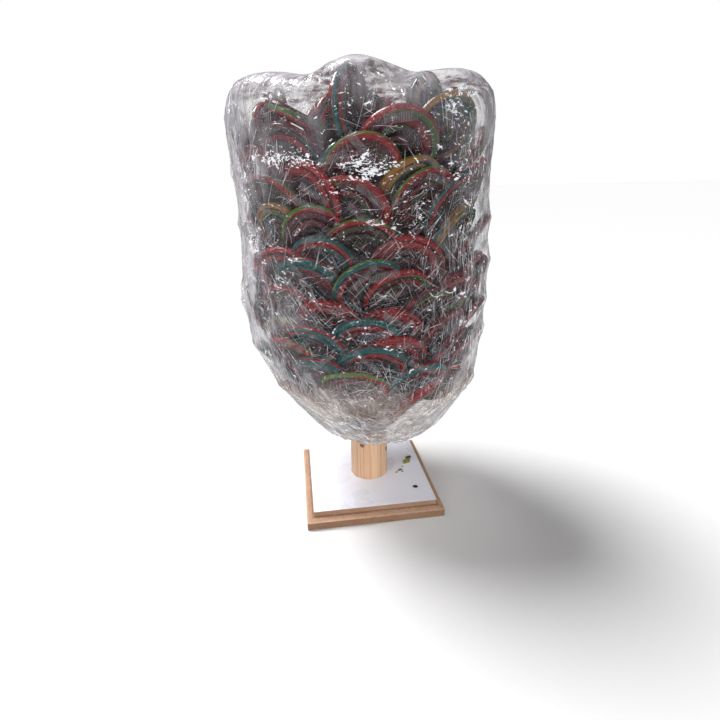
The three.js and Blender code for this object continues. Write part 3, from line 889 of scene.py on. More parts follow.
def maths(tree, operation, *values, clamp=False):
    # One step of arithmetic on sockets or plain values, kept between 0 and 1 by clamp
    node = tree.nodes.new("ShaderNodeMath")
    node.operation = operation
    node.use_clamp = clamp
    for socket, value in zip(node.inputs, values):
        plug(tree, socket, value)
    return node.outputs[0]


def ramp(tree, value, low, high, toLow=0.0, toHigh=1.0):
    # An S curve from toLow at low to toHigh at high, level beyond them
    node = tree.nodes.new("ShaderNodeMapRange")
    node.interpolation_type = "SMOOTHSTEP"
    for label, number in (("From Min", low), ("From Max", high), ("To Min", toLow), ("To Max", toHigh)):
        node.inputs[label].default_value = number
    plug(tree, node.inputs["Value"], value)
    return node.outputs["Result"]


def blend(tree, share, first, second):
    # One colour over another by a share
    node = tree.nodes.new("ShaderNodeMix")
    node.data_type = "RGBA"
    plug(tree, node.inputs["Factor"], share)
    plug(tree, node.inputs[6], first)
    plug(tree, node.inputs[7], second)
    return node.outputs[2]


def mapped(tree, vector, scale=(1, 1, 1), turn=(0, 0, 0), shift=(0, 0, 0)):
    # A place scaled, then turned by degrees, then shifted
    node = tree.nodes.new("ShaderNodeMapping")
    plug(tree, node.inputs["Vector"], vector)
    node.inputs["Scale"].default_value = scale
    node.inputs["Rotation"].default_value = [math.radians(angle) for angle in turn]
    node.inputs["Location"].default_value = shift
    return node.outputs[0]


def noise(tree, vector, scale, detail=2.0, roughness=0.5, distortion=0.0):
    # Soft clouds of values about a half, with finer ones added by detail and roughness
    node = tree.nodes.new("ShaderNodeTexNoise")
    plug(tree, node.inputs["Vector"], vector)
    node.inputs["Scale"].default_value = scale
    node.inputs["Detail"].default_value = detail
    node.inputs["Roughness"].default_value = roughness
    node.inputs["Distortion"].default_value = distortion
    return node.outputs[0]


def objectPlace(tree):
    # Place in the piece's own metres
    return tree.nodes.new("ShaderNodeTexCoord").outputs["Object"]


def flatPlace(tree):
    # The piece's own flat map
    node = tree.nodes.new("ShaderNodeUVMap")
    node.uv_map = "across"
    return node.outputs[0]


def parted(tree, vector):
    # A vector's three numbers
    node = tree.nodes.new("ShaderNodeSeparateXYZ")
    tree.links.new(vector, node.inputs[0])
    return node.outputs


def attribute(tree, label):
    # A value that the mesh carries at its points
    node = tree.nodes.new("ShaderNodeAttribute")
    node.attribute_name = label
    return node.outputs["Fac"]


def bump(tree, height, strength, distance, normal=None):
    # A normal tilted by the slope of a height, over another normal if one is given
    node = tree.nodes.new("ShaderNodeBump")
    node.inputs["Strength"].default_value = strength
    node.inputs["Distance"].default_value = distance
    plug(tree, node.inputs["Height"], height)
    if normal is not None:
        plug(tree, node.inputs["Normal"], normal)
    return node.outputs[0]


def candyMaterial(kind):
    # Colours run along the rope in strands that twist slowly round it, worked out from the coil's own
    # flat map: the strand is the part past the point of (angle round the rope + turns of the coil *
    # twist + where the strands start), in turns
    material, tree, shader = newMaterial("candy_" + kind)
    flat = parted(tree, flatPlace(tree))
    x = maths(tree, "MULTIPLY", maths(tree, "SUBTRACT", flat[0], 0.5), lolly["mapSpan"])
    y = maths(tree, "MULTIPLY", maths(tree, "SUBTRACT", flat[1], 0.5), lolly["mapSpan"])
    squares = maths(tree, "ADD", maths(tree, "MULTIPLY", x, x), maths(tree, "MULTIPLY", y, y))
    radius = maths(tree, "SQRT", squares)
    turn = maths(tree, "DIVIDE", maths(tree, "ARCTAN2", y, x), 2 * math.pi)
    turnShare = maths(tree, "FRACT", maths(tree, "ADD", turn, 1))
    inward = maths(tree, "SUBTRACT", planting["radius"] + 0.01, radius)
    inward = maths(tree, "DIVIDE", inward, lolly["turnWidth"])
    coil = maths(tree, "ADD", inward, turnShare)
    acrossTurn = maths(tree, "SUBTRACT", maths(tree, "MULTIPLY", maths(tree, "FRACT", coil), 2), 1)
    turns = maths(tree, "SUBTRACT", maths(tree, "FLOOR", coil), turnShare)
    ropeAngle = maths(tree, "ARCTAN2", acrossTurn, attribute(tree, "side"))
    ropeAngle = maths(tree, "DIVIDE", ropeAngle, 2 * math.pi)
    twist = maths(tree, "MULTIPLY", turns, lolly["strandTwist"])
    wander = maths(tree, "MULTIPLY", noise(tree, objectPlace(tree), 60, 1), 0.12)
    start = maths(tree, "ADD", attribute(tree, "phase"), wander)
    strand = maths(tree, "FRACT", maths(tree, "ADD", maths(tree, "ADD", ropeAngle, twist), start))
    colours = tree.nodes.new("ShaderNodeValToRGB")
    colours.color_ramp.interpolation = "CONSTANT"
    names = ropeStrands[kind]
    while len(colours.color_ramp.elements) < len(names):
        colours.color_ramp.elements.new(0.9)
    for index, colour in enumerate(names):
        colours.color_ramp.elements[index].position = index / len(names)
        colours.color_ramp.elements[index].color = sugar[colour]
    tree.links.new(strand, colours.inputs[0])
    # Pulled sugar has paler threads along each strand, and the grooves hold a little shade
    threads = noise(tree, mapped(tree, objectPlace(tree), (900, 900, 900)), 1.0, 3)
    pale = blend(tree, ramp(tree, threads, 0.5, 0.8, 0, 0.1), colours.outputs[0], sugar["thread"])
    groove = ramp(tree, maths(tree, "ABSOLUTE", acrossTurn), 0.8, 1.0, 0, 0.65)
    shaded = blend(tree, groove, pale, sugar["groove"])
    # Painted shade: the colours darken towards the middle of the coil
    inner = ramp(tree, radius, 14, 26, lolly["innerShade"], 0)
    shaded = blend(tree, inner, shaded, sugar["inner"])
    tree.links.new(shaded, shader.inputs["Base Color"])
    shader.inputs["Roughness"].default_value = lolly["roughness"]
    shader.inputs["Coat Weight"].default_value = lolly["coat"]
    shader.inputs["Coat Roughness"].default_value = lolly["coatRoughness"]
    fall = maths(tree, "SUBTRACT", 1, maths(tree, "MULTIPLY", acrossTurn, acrossTurn))
    ropeBack = maths(tree, "SQRT", maths(tree, "MAXIMUM", fall, 0.0))
    normal = bump(tree, ropeBack, 0.6, 0.0016)
    normal = bump(tree, threads, 0.25, 0.0004, normal)
    tree.links.new(normal, shader.inputs["Normal"])
    return material


def strokeGroup():
    # Short straight hairlines: a scattered mosaic, and in each cell a few parallel lines at the cell's
    # own slant, each as strong as its own draw. Place is in decimetres and Width is a share of a cell.
    group = bpy.data.node_groups.new("filmStrokes", "ShaderNodeTree")
    group.interface.new_socket("Place", in_out="INPUT", socket_type="NodeSocketVector")
    for label in ("Scale", "Lines", "Width", "Slant", "Spread"):
        group.interface.new_socket(label, in_out="INPUT", socket_type="NodeSocketFloat")
    group.interface.new_socket("Mask", in_out="OUTPUT", socket_type="NodeSocketFloat")
    given, end = group.nodes.new("NodeGroupInput"), group.nodes.new("NodeGroupOutput")
    cells = group.nodes.new("ShaderNodeTexVoronoi")
    cells.voronoi_dimensions = "2D"
    group.links.new(given.outputs["Place"], cells.inputs["Vector"])
    group.links.new(given.outputs["Scale"], cells.inputs["Scale"])
    away = group.nodes.new("ShaderNodeVectorMath")
    away.operation = "SUBTRACT"
    group.links.new(given.outputs["Place"], away.inputs[0])
    group.links.new(cells.outputs["Position"], away.inputs[1])
    local = group.nodes.new("ShaderNodeVectorMath")
    local.operation = "SCALE"
    group.links.new(away.outputs[0], local.inputs[0])
    group.links.new(given.outputs["Scale"], local.inputs["Scale"])
    drawn = group.nodes.new("ShaderNodeSeparateColor")
    group.links.new(cells.outputs["Color"], drawn.inputs[0])
    slant = maths(group, "SUBTRACT", drawn.outputs[0], 0.5)
    slant = maths(group, "MULTIPLY_ADD", slant, given.outputs["Spread"], given.outputs["Slant"])
    c, t = maths(group, "COSINE", slant), maths(group, "SINE", slant)
    x, y, _ = parted(group, local.outputs[0])
    run = maths(group, "ADD", maths(group, "MULTIPLY", x, c), maths(group, "MULTIPLY", y, t))
    off = maths(group, "SUBTRACT", maths(group, "MULTIPLY", y, c), maths(group, "MULTIPLY", x, t))
    bend = maths(group, "MULTIPLY", maths(group, "MULTIPLY", run, run),
                 maths(group, "SUBTRACT", drawn.outputs[1], 0.5))
    off = maths(group, "ADD", off, maths(group, "MULTIPLY", bend, 0.5))
    first = maths(group, "MULTIPLY", drawn.outputs[2], 9)
    step = maths(group, "MULTIPLY_ADD", off, given.outputs["Lines"], first)
    each = group.nodes.new("ShaderNodeTexWhiteNoise")
    each.noise_dimensions = "1D"
    number = maths(group, "ADD", maths(group, "FLOOR", step), maths(group, "MULTIPLY", drawn.outputs[1], 57))
    group.links.new(number, each.inputs["W"])
    level = each.outputs["Value"]
    shift = maths(group, "MULTIPLY", maths(group, "SUBTRACT", level, 0.5), 0.5)
    aside = maths(group, "SUBTRACT", maths(group, "SUBTRACT", maths(group, "FRACT", step), 0.5), shift)
    halfLine = maths(group, "MULTIPLY", given.outputs["Lines"], given.outputs["Width"])
    nearness = maths(group, "DIVIDE", maths(group, "ABSOLUTE", aside), halfLine)
    line = maths(group, "SUBTRACT", 1.0, nearness, clamp=True)
    halfRun = maths(group, "MULTIPLY_ADD", level, 0.4, 0.18)
    farness = maths(group, "DIVIDE", maths(group, "ABSOLUTE", maths(group, "ADD", run, shift)), halfRun)
    ends = maths(group, "SUBTRACT", 1.3, farness, clamp=True)
    strength = maths(group, "POWER", level, 1.6)
    mask = maths(group, "MULTIPLY", maths(group, "MULTIPLY", line, ends), strength)
    group.links.new(mask, end.inputs["Mask"])
    return group


def strokes(tree, group, place, scale, lines, width, slant, spread):
    # How strongly the group's hairlines show at a place, from 0 to 1
    node = tree.nodes.new("ShaderNodeGroup")
    node.node_tree = group
    plug(tree, node.inputs["Place"], place)
    values = {"Scale": scale, "Lines": lines, "Width": width, "Slant": slant, "Spread": spread}
    for label, value in values.items():
        node.inputs[label].default_value = value
    return node.outputs[0]


def shards(tree, place, scale, stretch, turn):
    # A mosaic of slivers that bend a little, each with its own level from 0 to 1
    bent = tree.nodes.new("ShaderNodeVectorMath")
    bent.operation = "MULTIPLY_ADD"
    warp = tree.nodes.new("ShaderNodeTexNoise")
    warp.inputs["Scale"].default_value = 14
    tree.links.new(place, warp.inputs["Vector"])
    tree.links.new(warp.outputs["Color"], bent.inputs[0])
    bent.inputs[1].default_value = (0.07, 0.07, 0)
    tree.links.new(place, bent.inputs[2])
    cells = tree.nodes.new("ShaderNodeTexVoronoi")
    cells.voronoi_dimensions = "2D"
    cells.inputs["Scale"].default_value = scale
    slanted = mapped(tree, bent.outputs[0], turn=(0, 0, turn))
    tree.links.new(mapped(tree, slanted, (1, stretch, 1)), cells.inputs["Vector"])
    drawn = tree.nodes.new("ShaderNodeSeparateColor")
    tree.links.new(cells.outputs["Color"], drawn.inputs[0])
    return drawn.outputs[0]


filmLook = {
    "topFrom": 405,         # height above the white face from which the film is mapped from above
    "tint": (0.84, 0.8, 0.87, 1),
    "footTint": (0.95, 0.82, 0.73, 1),
    "lineTint": (0.92, 0.92, 0.96, 1),
    "footLineTint": (0.96, 0.88, 0.82, 1),
    # Painted glints: their colour and glow, and below, how strongly their white patches and specks show
    "paintedGlint": (0.95, 0.96, 1.0, 1),
    "paintedGlintGlow": 0.6,            # emission of the painted glints, which makes them glow
    "clear": 0.0,           # how much the film hides where it lies tight
    "off": 0.05,            # how much more where it stands off
    "haze": 1.1,
    "foot": 0.6,            # the gathered layers at the foot
    "side": 0.68,           # where it is seen edge on
    "crease": 0.08,
    "glintBlotch": 0.95,
    "glintSpecks": 0.8,
    "roughness": 0.1,
    # weight, cells to a decimetre, lines in a cell, width, slant, spread of slants
    "strokes": [
        (0.3, 3.2, 6, 0.008, 0.8, 0.9), (0.3, 4.6, 5, 0.011, -0.75, 0.8), (0.25, 7.0, 4, 0.016, 1.5, 0.6),
    ],
}


def filmMaterial(name, group, look):
    # Nearly clear film: haze grows where it stands off its contents and where many layers lie,
    # fine fold lines are white, and crumples catch the light by their bumps and as painted glints that glow
    material, tree, shader = newMaterial(name)
    flat = flatPlace(tree)
    # The flat map meets in a point on the top, which is mapped from above instead
    height = parted(tree, objectPlace(tree))[2]
    onTop = maths(tree, "GREATER_THAN", height, (whiteTop + look["topFrom"]) * mm)
    above = mapped(tree, objectPlace(tree), (10, 10, 0), shift=(3, 7, 0))
    switch = tree.nodes.new("ShaderNodeMix")
    switch.data_type = "VECTOR"
    tree.links.new(onTop, switch.inputs["Factor"])
    tree.links.new(flat, switch.inputs[4])
    tree.links.new(above, switch.inputs[5])
    place = switch.outputs[1]
    far, crease, haze, paintedShine = (attribute(tree, label) for label in ("far", "crease", "haze", "paintedShine"))
    lower = ramp(tree, parted(tree, flat)[1], 0.02, -0.5)
    facing = tree.nodes.new("ShaderNodeLayerWeight")
    facing.inputs["Blend"].default_value = 0.5
    side = maths(tree, "MULTIPLY", maths(tree, "POWER", facing.outputs["Facing"], 2.0), look["side"])
    side = maths(tree, "MULTIPLY", side, maths(tree, "MULTIPLY_ADD", far, 0.85, 0.6))
    side = maths(tree, "MULTIPLY", side, maths(tree, "MULTIPLY_ADD", lower, -0.8, 1.0))
    cloud = ramp(tree, noise(tree, place, 3.2, 4, 0.55), 0.35, 0.68, 0.3, 1.35)
    veil = maths(tree, "MULTIPLY_ADD", far, look["off"], look["clear"])
    veil = maths(tree, "ADD", maths(tree, "MULTIPLY_ADD", haze, look["haze"], veil), side)
    streak = noise(tree, mapped(tree, place, (2.6, 0.7, 1), (0, 0, 12)), 6, 5, 0.7, 0.5)
    cloud = maths(tree, "MULTIPLY", cloud, ramp(tree, streak, 0.32, 0.66, 0.5, 1.4))
    fibres = noise(tree, mapped(tree, place, (4.5, 1.5, 1), (0, 0, 20)), 9, 5, 0.72, 1.3)
    foot = ramp(tree, fibres, 0.36, 0.64, 0.45 * look["foot"], 1.55 * look["foot"])
    foot = maths(tree, "MULTIPLY", lower, foot)
    foot = maths(tree, "MULTIPLY", foot, maths(tree, "MULTIPLY_ADD", cloud, 0.5, 0.55))
    foot = maths(tree, "MULTIPLY", foot, maths(tree, "MULTIPLY_ADD", haze, 1.7, 1.0, clamp=True))
    veil = maths(tree, "MULTIPLY_ADD", veil, cloud, foot)
    veil = maths(tree, "MAXIMUM", veil, 0.0)
    marks = None
    for weight, *numbers in look["strokes"]:
        drawnLines = maths(tree, "MULTIPLY", strokes(tree, group, place, *numbers), weight)
        marks = drawnLines if marks is None else maths(tree, "MAXIMUM", marks, drawnLines)
    thick = ramp(tree, noise(tree, place, 5.5, 2), 0.36, 0.62, 0.3, 1.25)
    marks = maths(tree, "MULTIPLY", marks, thick)
    marks = maths(tree, "MULTIPLY_ADD", crease, look["crease"], marks)
    crumple = tree.nodes.new("ShaderNodeTexNoise")
    crumple.noise_type = "RIDGED_MULTIFRACTAL"
    crumple.inputs["Scale"].default_value = 7
    crumple.inputs["Detail"].default_value = 4
    crumple.inputs["Distortion"].default_value = 0.8
    tree.links.new(mapped(tree, place, (1, 0.6, 1), (0, 0, 35)), crumple.inputs["Vector"])
    # Painted glints: white slivers in patches over the crumples
    glintBlotch = noise(tree, mapped(tree, place, (1, 2.1, 1), (0, 0, -28)), 17, 4, 0.62, 1.2)
    broad = noise(tree, mapped(tree, place, (1, 1.6, 1), (0, 0, -20)), 7.5, 3, 0.6, 1.0)
    glintBlotch = maths(tree, "MAXIMUM", glintBlotch, broad)
    chance = ramp(tree, maths(tree, "MULTIPLY_ADD", paintedShine, 0.17, glintBlotch), 0.58, 0.8, 0, 0.85)
    fine = maths(tree, "ADD", shards(tree, place, 62, 2.6, 32), chance)
    coarse = maths(tree, "ADD", shards(tree, place, 30, 3.4, -24), chance)
    both = maths(tree, "MULTIPLY_ADD", fine, 0.6, maths(tree, "MULTIPLY", coarse, 0.4))
    glintBlotch = ramp(tree, both, 0.98, 1.06)
    # A faint painted haze of light round the glints
    veil = maths(tree, "MULTIPLY_ADD", chance, 0.1, veil)
    marks = maths(tree, "MAXIMUM", marks, maths(tree, "MULTIPLY", glintBlotch, look["glintBlotch"]))
    # Painted glints as tiny white specks
    glintSpecks = noise(tree, mapped(tree, place, (1, 2.2, 1), (0, 0, -40)), 140, 2, 0.7, 0.4)
    glintSpecks = ramp(tree, maths(tree, "MULTIPLY_ADD", thick, 0.06, glintSpecks), 0.725, 0.75)
    marks = maths(tree, "MAXIMUM", marks, maths(tree, "MULTIPLY", glintSpecks, look["glintSpecks"]))
    alpha = maths(tree, "ADD", veil, marks, clamp=True)
    tree.links.new(alpha, shader.inputs["Alpha"])
    tint = blend(tree, lower, look["tint"], look["footTint"])
    bright = blend(tree, lower, look["lineTint"], look["footLineTint"])
    colour = blend(tree, maths(tree, "MINIMUM", marks, 1.0), tint, bright)
    tree.links.new(colour, shader.inputs["Base Color"])
    # The painted glints glow
    paintedGlint = maths(tree, "MAXIMUM", glintBlotch, glintSpecks)
    tree.links.new(blend(tree, paintedGlint, (0, 0, 0, 1), look["paintedGlint"]), shader.inputs["Emission Color"])
    shader.inputs["Emission Strength"].default_value = look["paintedGlintGlow"]
    shader.inputs["Roughness"].default_value = look["roughness"]
    shader.inputs["Specular IOR Level"].default_value = 1.0
    relief = maths(tree, "MULTIPLY_ADD", marks, 0.25, crumple.outputs[0])
    tree.links.new(bump(tree, relief, 0.9, 0.0035), shader.inputs["Normal"])
    return material


def wrapperMaterial():
    # Clear crackly sleeve: hardly there, with creases from its ends and a shine
    material, tree, shader = newMaterial("clear_sleeve")
    creases = noise(tree, mapped(tree, flatPlace(tree), (9, 3, 1)), 1.6, 3, 0.6, 1.4)
    ridges = ramp(tree, creases, 0.56, 0.64)
    facing = tree.nodes.new("ShaderNodeLayerWeight")
    facing.inputs["Blend"].default_value = 0.25
    edgeOn = maths(tree, "POWER", facing.outputs["Facing"], 3.0)
    alpha = maths(tree, "MULTIPLY_ADD", ridges, 0.05, 0.006)
    alpha = maths(tree, "MULTIPLY_ADD", edgeOn, 0.1, alpha, clamp=True)
    tree.links.new(alpha, shader.inputs["Alpha"])
    shader.inputs["Base Color"].default_value = (0.5, 0.4, 0.6, 1)
    tree.links.new(ramp(tree, creases, 0.3, 0.7, 0.1, 0.22), shader.inputs["Roughness"])
    tree.links.new(bump(tree, creases, 0.7, 0.003), shader.inputs["Normal"])
    return material


def sealMaterial():
    # Clear between its ribs, paler and denser on them, and worn in places
    material, tree, shader = newMaterial("crimped_seal")
    rib = attribute(tree, "rib")
    worn = noise(tree, objectPlace(tree), 160, 2)
    colour = blend(tree, rib, (0.42, 0.39, 0.44, 1), (0.9, 0.9, 0.92, 1))
    tree.links.new(colour, shader.inputs["Base Color"])
    dense = maths(tree, "MULTIPLY_ADD", rib, 0.4, 0.03)
    alpha = maths(tree, "MULTIPLY", dense, ramp(tree, worn, 0.3, 0.6, 0.4, 1.1))
    tree.links.new(alpha, shader.inputs["Alpha"])
    shader.inputs["Roughness"].default_value = 0.2
    return material


def foldMaterial():
    # Sharp folds scatter the light, some more than others, and the brighter ones glow as a painted highlight
    material, tree, shader = newMaterial("film_folds")
    bright = attribute(tree, "bright")
    patch = noise(tree, objectPlace(tree), 90, 2)
    level = maths(tree, "MULTIPLY", bright, ramp(tree, patch, 0.3, 0.7, 0.4, 1.2))
    colour = blend(tree, level, (0.42, 0.4, 0.42, 1), (0.97, 0.96, 0.97, 1))
    tree.links.new(colour, shader.inputs["Base Color"])
    # Painted highlight: the brighter folds glow
    tree.links.new(blend(tree, level, (0, 0, 0, 1), (0.95, 0.94, 0.96, 1)), shader.inputs["Emission Color"])
    shader.inputs["Emission Strength"].default_value = 0.8
    shader.inputs["Roughness"].default_value = 0.35
    return material


def spot(tree, place, middle, wide):
    # 1 within an uneven round of half width wide about middle, both in mm, and 0 outside
    away = tree.nodes.new("ShaderNodeVectorMath")
    away.operation = "DISTANCE"
    tree.links.new(place, away.inputs[0])
    away.inputs[1].default_value = [value * mm for value in middle]
    uneven = maths(tree, "MULTIPLY", noise(tree, place, 420, 2), wide * mm)
    distance = maths(tree, "ADD", away.outputs["Value"], uneven)
    return ramp(tree, distance, 1.25 * wide * mm, 1.7 * wide * mm, 1.0, 0.0)


# Bands of painted shade and highlight along the board's edge: heights in mm where each starts and has ended,
# share, colour. The dark ones are shade on its upright faces and in the corner at the foot of the raised
# part, the pale one a highlight along the ledge's nose
edgeShadeAndHighlight = [
    (-2, 8.5, 0.5, (0.22, 0.105, 0.045, 1)), (8.5, 9.4, 0.4, (0.68, 0.47, 0.33, 1)),
    (10.7, 11.7, 0.65, (0.14, 0.065, 0.03, 1)), (11.7, 16.9, 0.25, (0.22, 0.105, 0.045, 1)),
]
# The spare hole's inside is painted shade, a round squashed upright
spareHole = {
    "middle": (50, -40.5),
    "below": 5.5,           # the board's top
    "wide": 5,
    "squash": 0.45,
    "shade": (0.006, 0.005, 0.005, 1),
}


def boardMaterial():
    # Fine fibres over soft broad patches, and bands of painted shade and highlight along the edge's steps
    material, tree, shader = newMaterial("bare_fibreboard")
    place = objectPlace(tree)
    fibres = noise(tree, mapped(tree, place, (700, 700, 700)), 1.0, 5, 0.7)
    soft = noise(tree, place, 35, 3)
    colour = blend(tree, ramp(tree, fibres, 0.35, 0.7), (0.31, 0.172, 0.1, 1), (0.5, 0.31, 0.2, 1))
    colour = blend(tree, ramp(tree, soft, 0.3, 0.75, 0, 0.4), colour, (0.56, 0.38, 0.27, 1))
    uneven = maths(tree, "SUBTRACT", noise(tree, place, 260, 3), 0.5)
    rough = maths(tree, "MULTIPLY_ADD", uneven, 0.9 * mm, parted(tree, place)[2])
    # Painted shade and highlight, band by band up the edge
    for start, stop, share, tone in edgeShadeAndHighlight:
        within = maths(tree, "MULTIPLY", ramp(tree, rough, (start - 0.25) * mm, (start + 0.25) * mm),
                       ramp(tree, rough, (stop + 0.25) * mm, (stop - 0.25) * mm))
        colour = blend(tree, maths(tree, "MULTIPLY", within, share), colour, tone)
    # The spare hole's inside is painted in shade
    squash = spareHole["squash"]
    middle = (*spareHole["middle"], squash * (boardTop - spareHole["below"]))
    inside = spot(tree, mapped(tree, place, (1, 1, squash)), middle, spareHole["wide"])
    colour = blend(tree, inside, colour, spareHole["shade"])
    tree.links.new(colour, shader.inputs["Base Color"])
    shader.inputs["Roughness"].default_value = 0.78
    tree.links.new(bump(tree, fibres, 0.35, 0.0006), shader.inputs["Normal"])
    return material


# Marks of handling on the white face: place in mm, half width, strength and colour
faceMarks = [
    (52, 12, 4.6, 1.0, (0.4, 0.38, 0.08, 1)), (55, 16.5, 3.4, 1.0, (0.28, 0.28, 0.06, 1)),
    (48.5, 8, 2.4, 0.9, (0.42, 0.4, 0.13, 1)), (57.5, 21, 3.0, 1.0, (0.02, 0.03, 0.012, 1)),
    (54, 19.5, 2.0, 1.0, (0.03, 0.04, 0.012, 1)), (50, 12, 1.3, 0.9, (0.12, 0.12, 0.03, 1)),
    (44.5, 1, 1.5, 0.9, (0.4, 0.37, 0.14, 1)), (40.5, -5, 2.4, 1.0, (0.26, 0.21, 0.07, 1)),
    (38, -6.5, 1.4, 1.0, (0.07, 0.05, 0.03, 1)), (35, -9.5, 1.4, 1.0, (0.17, 0.13, 0.05, 1)),
    (42, -9, 1.4, 1.0, (0.17, 0.13, 0.05, 1)), (-30, -37, 0.5, 0.6, (0.3, 0.3, 0.3, 1)),
    (2, -40, 0.5, 0.7, (0.2, 0.2, 0.2, 1)), (60, 40, 1.1, 0.6, (0.5, 0.48, 0.25, 1)),
]


def facingMaterial():
    # Smooth and white, with faint smudges and the marks over them
    material, tree, shader = newMaterial("white_laminate")
    place = objectPlace(tree)
    smudge = noise(tree, place, 22, 4)
    colour = blend(tree, ramp(tree, smudge, 0.5, 0.8, 0, 0.2), (0.87, 0.89, 0.97, 1), (0.83, 0.85, 0.93, 1))
    for x, y, wide, amount, stain in faceMarks:
        share = maths(tree, "MULTIPLY", spot(tree, place, (x, y, whiteTop), wide), amount)
        colour = blend(tree, share, colour, stain)
    tree.links.new(colour, shader.inputs["Base Color"])
    tree.links.new(ramp(tree, smudge, 0.3, 0.7, 0.22, 0.4), shader.inputs["Roughness"])
    return material


# Holes in the post, painted in as dark shade: azimuth, height above the white face, half width
postHoles = [(-30, 44.5, 2.6), (62, 33, 2.6)]


def postMaterial():
    # Straight fine grain up the post, and two holes painted in as dark shade
    material, tree, shader = newMaterial("planed_softwood")
    place = objectPlace(tree)
    grain = noise(tree, mapped(tree, place, (430, 430, 6)), 1.0, 4, 0.65, 0.3)
    broad = noise(tree, mapped(tree, place, (130, 130, 2.5)), 1.0, 2)
    colour = blend(tree, ramp(tree, broad, 0.35, 0.7), (0.62, 0.385, 0.235, 1), (0.72, 0.49, 0.32, 1))
    colour = blend(tree, ramp(tree, grain, 0.47, 0.66, 0, 0.7), colour, (0.44, 0.215, 0.11, 1))
    # Painted shade in the holes
    for azimuth, height, wide in postHoles:
        angle = math.radians(azimuth)
        middle = (postMiddle[0] + postRadius * math.sin(angle),
                  postMiddle[1] - postRadius * math.cos(angle), whiteTop + height)
        colour = blend(tree, spot(tree, place, middle, wide), colour, (0.02, 0.012, 0.008, 1))
    tree.links.new(colour, shader.inputs["Base Color"])
    shader.inputs["Roughness"].default_value = 0.6
    tree.links.new(bump(tree, grain, 0.2, 0.0005), shader.inputs["Normal"])
    return material


def stickMaterial():
    # Plain brown with fine flecks
    material, tree, shader = newMaterial("lolly_stick")
    fleck = noise(tree, mapped(tree, objectPlace(tree), (300, 300, 300)), 1.0, 2)
    colour = blend(tree, ramp(tree, fleck, 0.3, 0.7), (0.3, 0.17, 0.09, 1), (0.44, 0.28, 0.17, 1))
    tree.links.new(colour, shader.inputs["Base Color"])
    shader.inputs["Roughness"].default_value = 0.7
    return material


camera = {
    "back": 489.4,          # from the post, level, mm
    "above": 327.8,         # above the white face
    "heading": 8.53,        # degrees that the base is turned against the view
    "yaw": 1.01,
    "pitch": 20.76,
    "roll": 1.15,
    "lens": 23.49,
    "sensor": 36,
}


def makeCamera():
    # Stands straight back from the post, looks level, is turned by yaw, pitch and roll in that order,
    # and then goes round the post by the heading
    yaw, pitch, roll = (math.radians(camera[key]) for key in ("yaw", "pitch", "roll"))
    right = np.array([math.cos(yaw), math.sin(yaw), 0])
    level = np.array([-math.sin(yaw), math.cos(yaw), 0])
    forward = math.cos(pitch) * level + np.array([0, 0, -math.sin(pitch)])
    upward = math.sin(pitch) * level + np.array([0, 0, math.cos(pitch)])
    across = math.cos(roll) * right - math.sin(roll) * upward
    over = math.sin(roll) * right + math.cos(roll) * upward
    eye = np.array([0, -camera["back"], 0])
    turn = np.array(Matrix.Rotation(-math.radians(camera["heading"]), 3, "Z"))
    across, over, forward, eye = (turn @ v for v in (across, over, forward, eye))
    eye = (eye + [postMiddle[0], postMiddle[1], whiteTop + camera["above"]]) * mm
    data = bpy.data.cameras.new("camera")
    data.lens = camera["lens"]
    data.sensor_width = camera["sensor"]
    data.clip_start = 0.01
    view = bpy.data.objects.new("camera", data)
    bpy.context.scene.collection.objects.link(view)
    view.matrix_world = Matrix([
        (across[0], over[0], -forward[0], eye[0]),
        (across[1], over[1], -forward[1], eye[1]),
        (across[2], over[2], -forward[2], eye[2]),
        (0, 0, 0, 1),
    ])
    bpy.context.scene.camera = view


studio = {
    "world": 0.14,          # light from all round
    "backdrop": 1.0,        # the world's own look
    "sun": {"from": (-0.45, 0.35, 1.0), "strength": 3.8, "spread": 28},
    # name, place in metres, size, watts, height it is aimed at, degrees of its beam
    "lamps": [
        ("window", (-1.3, -0.9, 0.9), 0.35, 3, 0.25, 180),
        ("low", (-0.3, -1.1, 0.16), 0.12, 0.012, 0.05, 14),
        ("base_left", (-0.9, -0.8, 0.55), 0.12, 0.046, 0.035, 16),
        ("base_right", (0.8, -0.85, 0.5), 0.12, 0.058, 0.035, 16),
        ("spark_left", (-0.55, -0.9, 1.35), 0.06, 1.1, 0.25, 180),
        ("spark_right", (0.7, -0.8, 1.2), 0.06, 1.1, 0.25, 180),
        ("spark_front", (0.05, -1.5, 1.1), 0.06, 1.1, 0.25, 180),
    ],
    "floorSeen": (0.86, 0.86, 0.86, 1),
    "floorBounce": (0.32, 0.32, 0.32, 1),
    "floorHalf": 30,        # metres
    "floorDrop": 0.2,       # mm under the board
}


def aimed(lamp, direction):
    # Turns the lamp to shine along the direction
    lamp.rotation_mode = "QUATERNION"
    lamp.rotation_quaternion = Vector(direction).to_track_quat("-Z", "Y")
    bpy.context.scene.collection.objects.link(lamp)


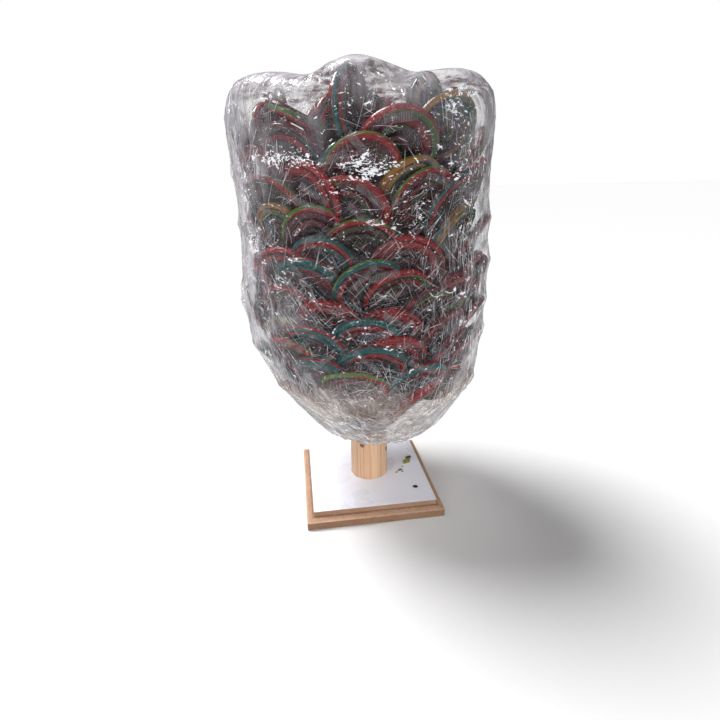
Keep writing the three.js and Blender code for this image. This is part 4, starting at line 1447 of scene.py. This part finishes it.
def makeStudio():
    # A soft sun from above, small lamps for sparkle on the film, a pale floor and a white world
    data = bpy.data.lights.new("sun", "SUN")
    data.energy = studio["sun"]["strength"]
    data.angle = math.radians(studio["sun"]["spread"])
    aimed(bpy.data.objects.new("sun", data), -np.array(studio["sun"]["from"]))
    for name, place, size, watts, level, beam in studio["lamps"]:
        data = bpy.data.lights.new(name, "AREA")
        data.shape = "DISK"
        data.size = size
        data.energy = watts
        data.spread = math.radians(beam)
        lamp = bpy.data.objects.new(name, data)
        lamp.location = place
        aimed(lamp, np.array([0, 0, level]) - np.array(place))
    world = bpy.data.worlds.new("studio")
    world.use_nodes = True
    tree = world.node_tree
    path = tree.nodes.new("ShaderNodeLightPath")
    seen = ramp(tree, path.outputs["Is Camera Ray"], 0, 1, studio["world"], studio["backdrop"])
    tree.nodes["Background"].inputs[0].default_value = (1, 1, 1, 1)
    tree.links.new(seen, tree.nodes["Background"].inputs[1])
    bpy.context.scene.world = world
    bpy.context.scene.view_settings.view_transform = "Standard"
    corners = np.array([(-1, -1, 0), (1, -1, 0), (1, 1, 0), (-1, 1, 0)]) * studio["floorHalf"] / mm
    corners = corners - [0, 0, studio["floorDrop"]]
    floor = makeMesh("floor", corners, np.array([(0, 1, 2, 3)]))
    material, tree, shader = newMaterial("pale_floor")
    path = tree.nodes.new("ShaderNodeLightPath")
    tone = blend(tree, path.outputs["Is Camera Ray"], studio["floorBounce"], studio["floorSeen"])
    tree.links.new(tone, shader.inputs["Base Color"])
    shader.inputs["Roughness"].default_value = 0.9
    floor.data.materials.append(material)


makeCamera()
makeStudio()
print("camera and light set")

for kind in planting["kinds"]:
    members = np.flatnonzero(lollyKind == kind)
    piece = makeLollipops("lollipops_" + kind, members)
    piece.data.materials.append(candyMaterial(kind))
    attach(piece, "root")
    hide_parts("wrapped_lollipops")
    print("lollipops", kind, len(members), "of", len(piece.data.polygons), "faces")

lollySticks = makeSticks()
lollySticks.data.materials.append(stickMaterial())
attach(lollySticks, "root")
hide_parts("wrapped_lollipops")
print("sticks", len(lollySticks.data.polygons), "faces")

outerFilm, outerGrid = makeFilm("outer_film")
outerFilm.data.materials.append(filmMaterial("outer_film", strokeGroup(), filmLook))
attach(outerFilm, "root")
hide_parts("wrapped_lollipops")
print("outer film", len(outerFilm.data.polygons), "faces")

hemFilm = makeHem("film_hem", outerGrid)
hemFilm.data.materials.append(outerFilm.data.materials[0])
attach(hemFilm, "root")
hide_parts("wrapped_lollipops")
print("film hem", len(hemFilm.data.polygons), "faces")

wrappers = makeWrappers("wrapper_sleeves", outerGrid)
wrappers.data.materials.append(wrapperMaterial())
seals = makeSeals("wrapper_seals", outerGrid)
seals.data.materials.append(sealMaterial())
for piece in (wrappers, seals):
    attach(piece, "root")
    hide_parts("wrapped_lollipops")
print("wrappers", len(wrappers.data.polygons) + len(seals.data.polygons), "faces")

folds = makeFoldLines("film_fold_lines", outerGrid)
folds.data.materials.append(foldMaterial())
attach(folds, "root")
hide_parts("wrapped_lollipops")
print("fold lines", len(folds.data.polygons), "faces")

finishes = {"base_board": boardMaterial(), "white_facing": facingMaterial(), "post": postMaterial()}
for node, material in finishes.items():
    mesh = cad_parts[node].data
    mesh.materials.clear()
    mesh.materials.append(material)
print("board, white face and post finished")
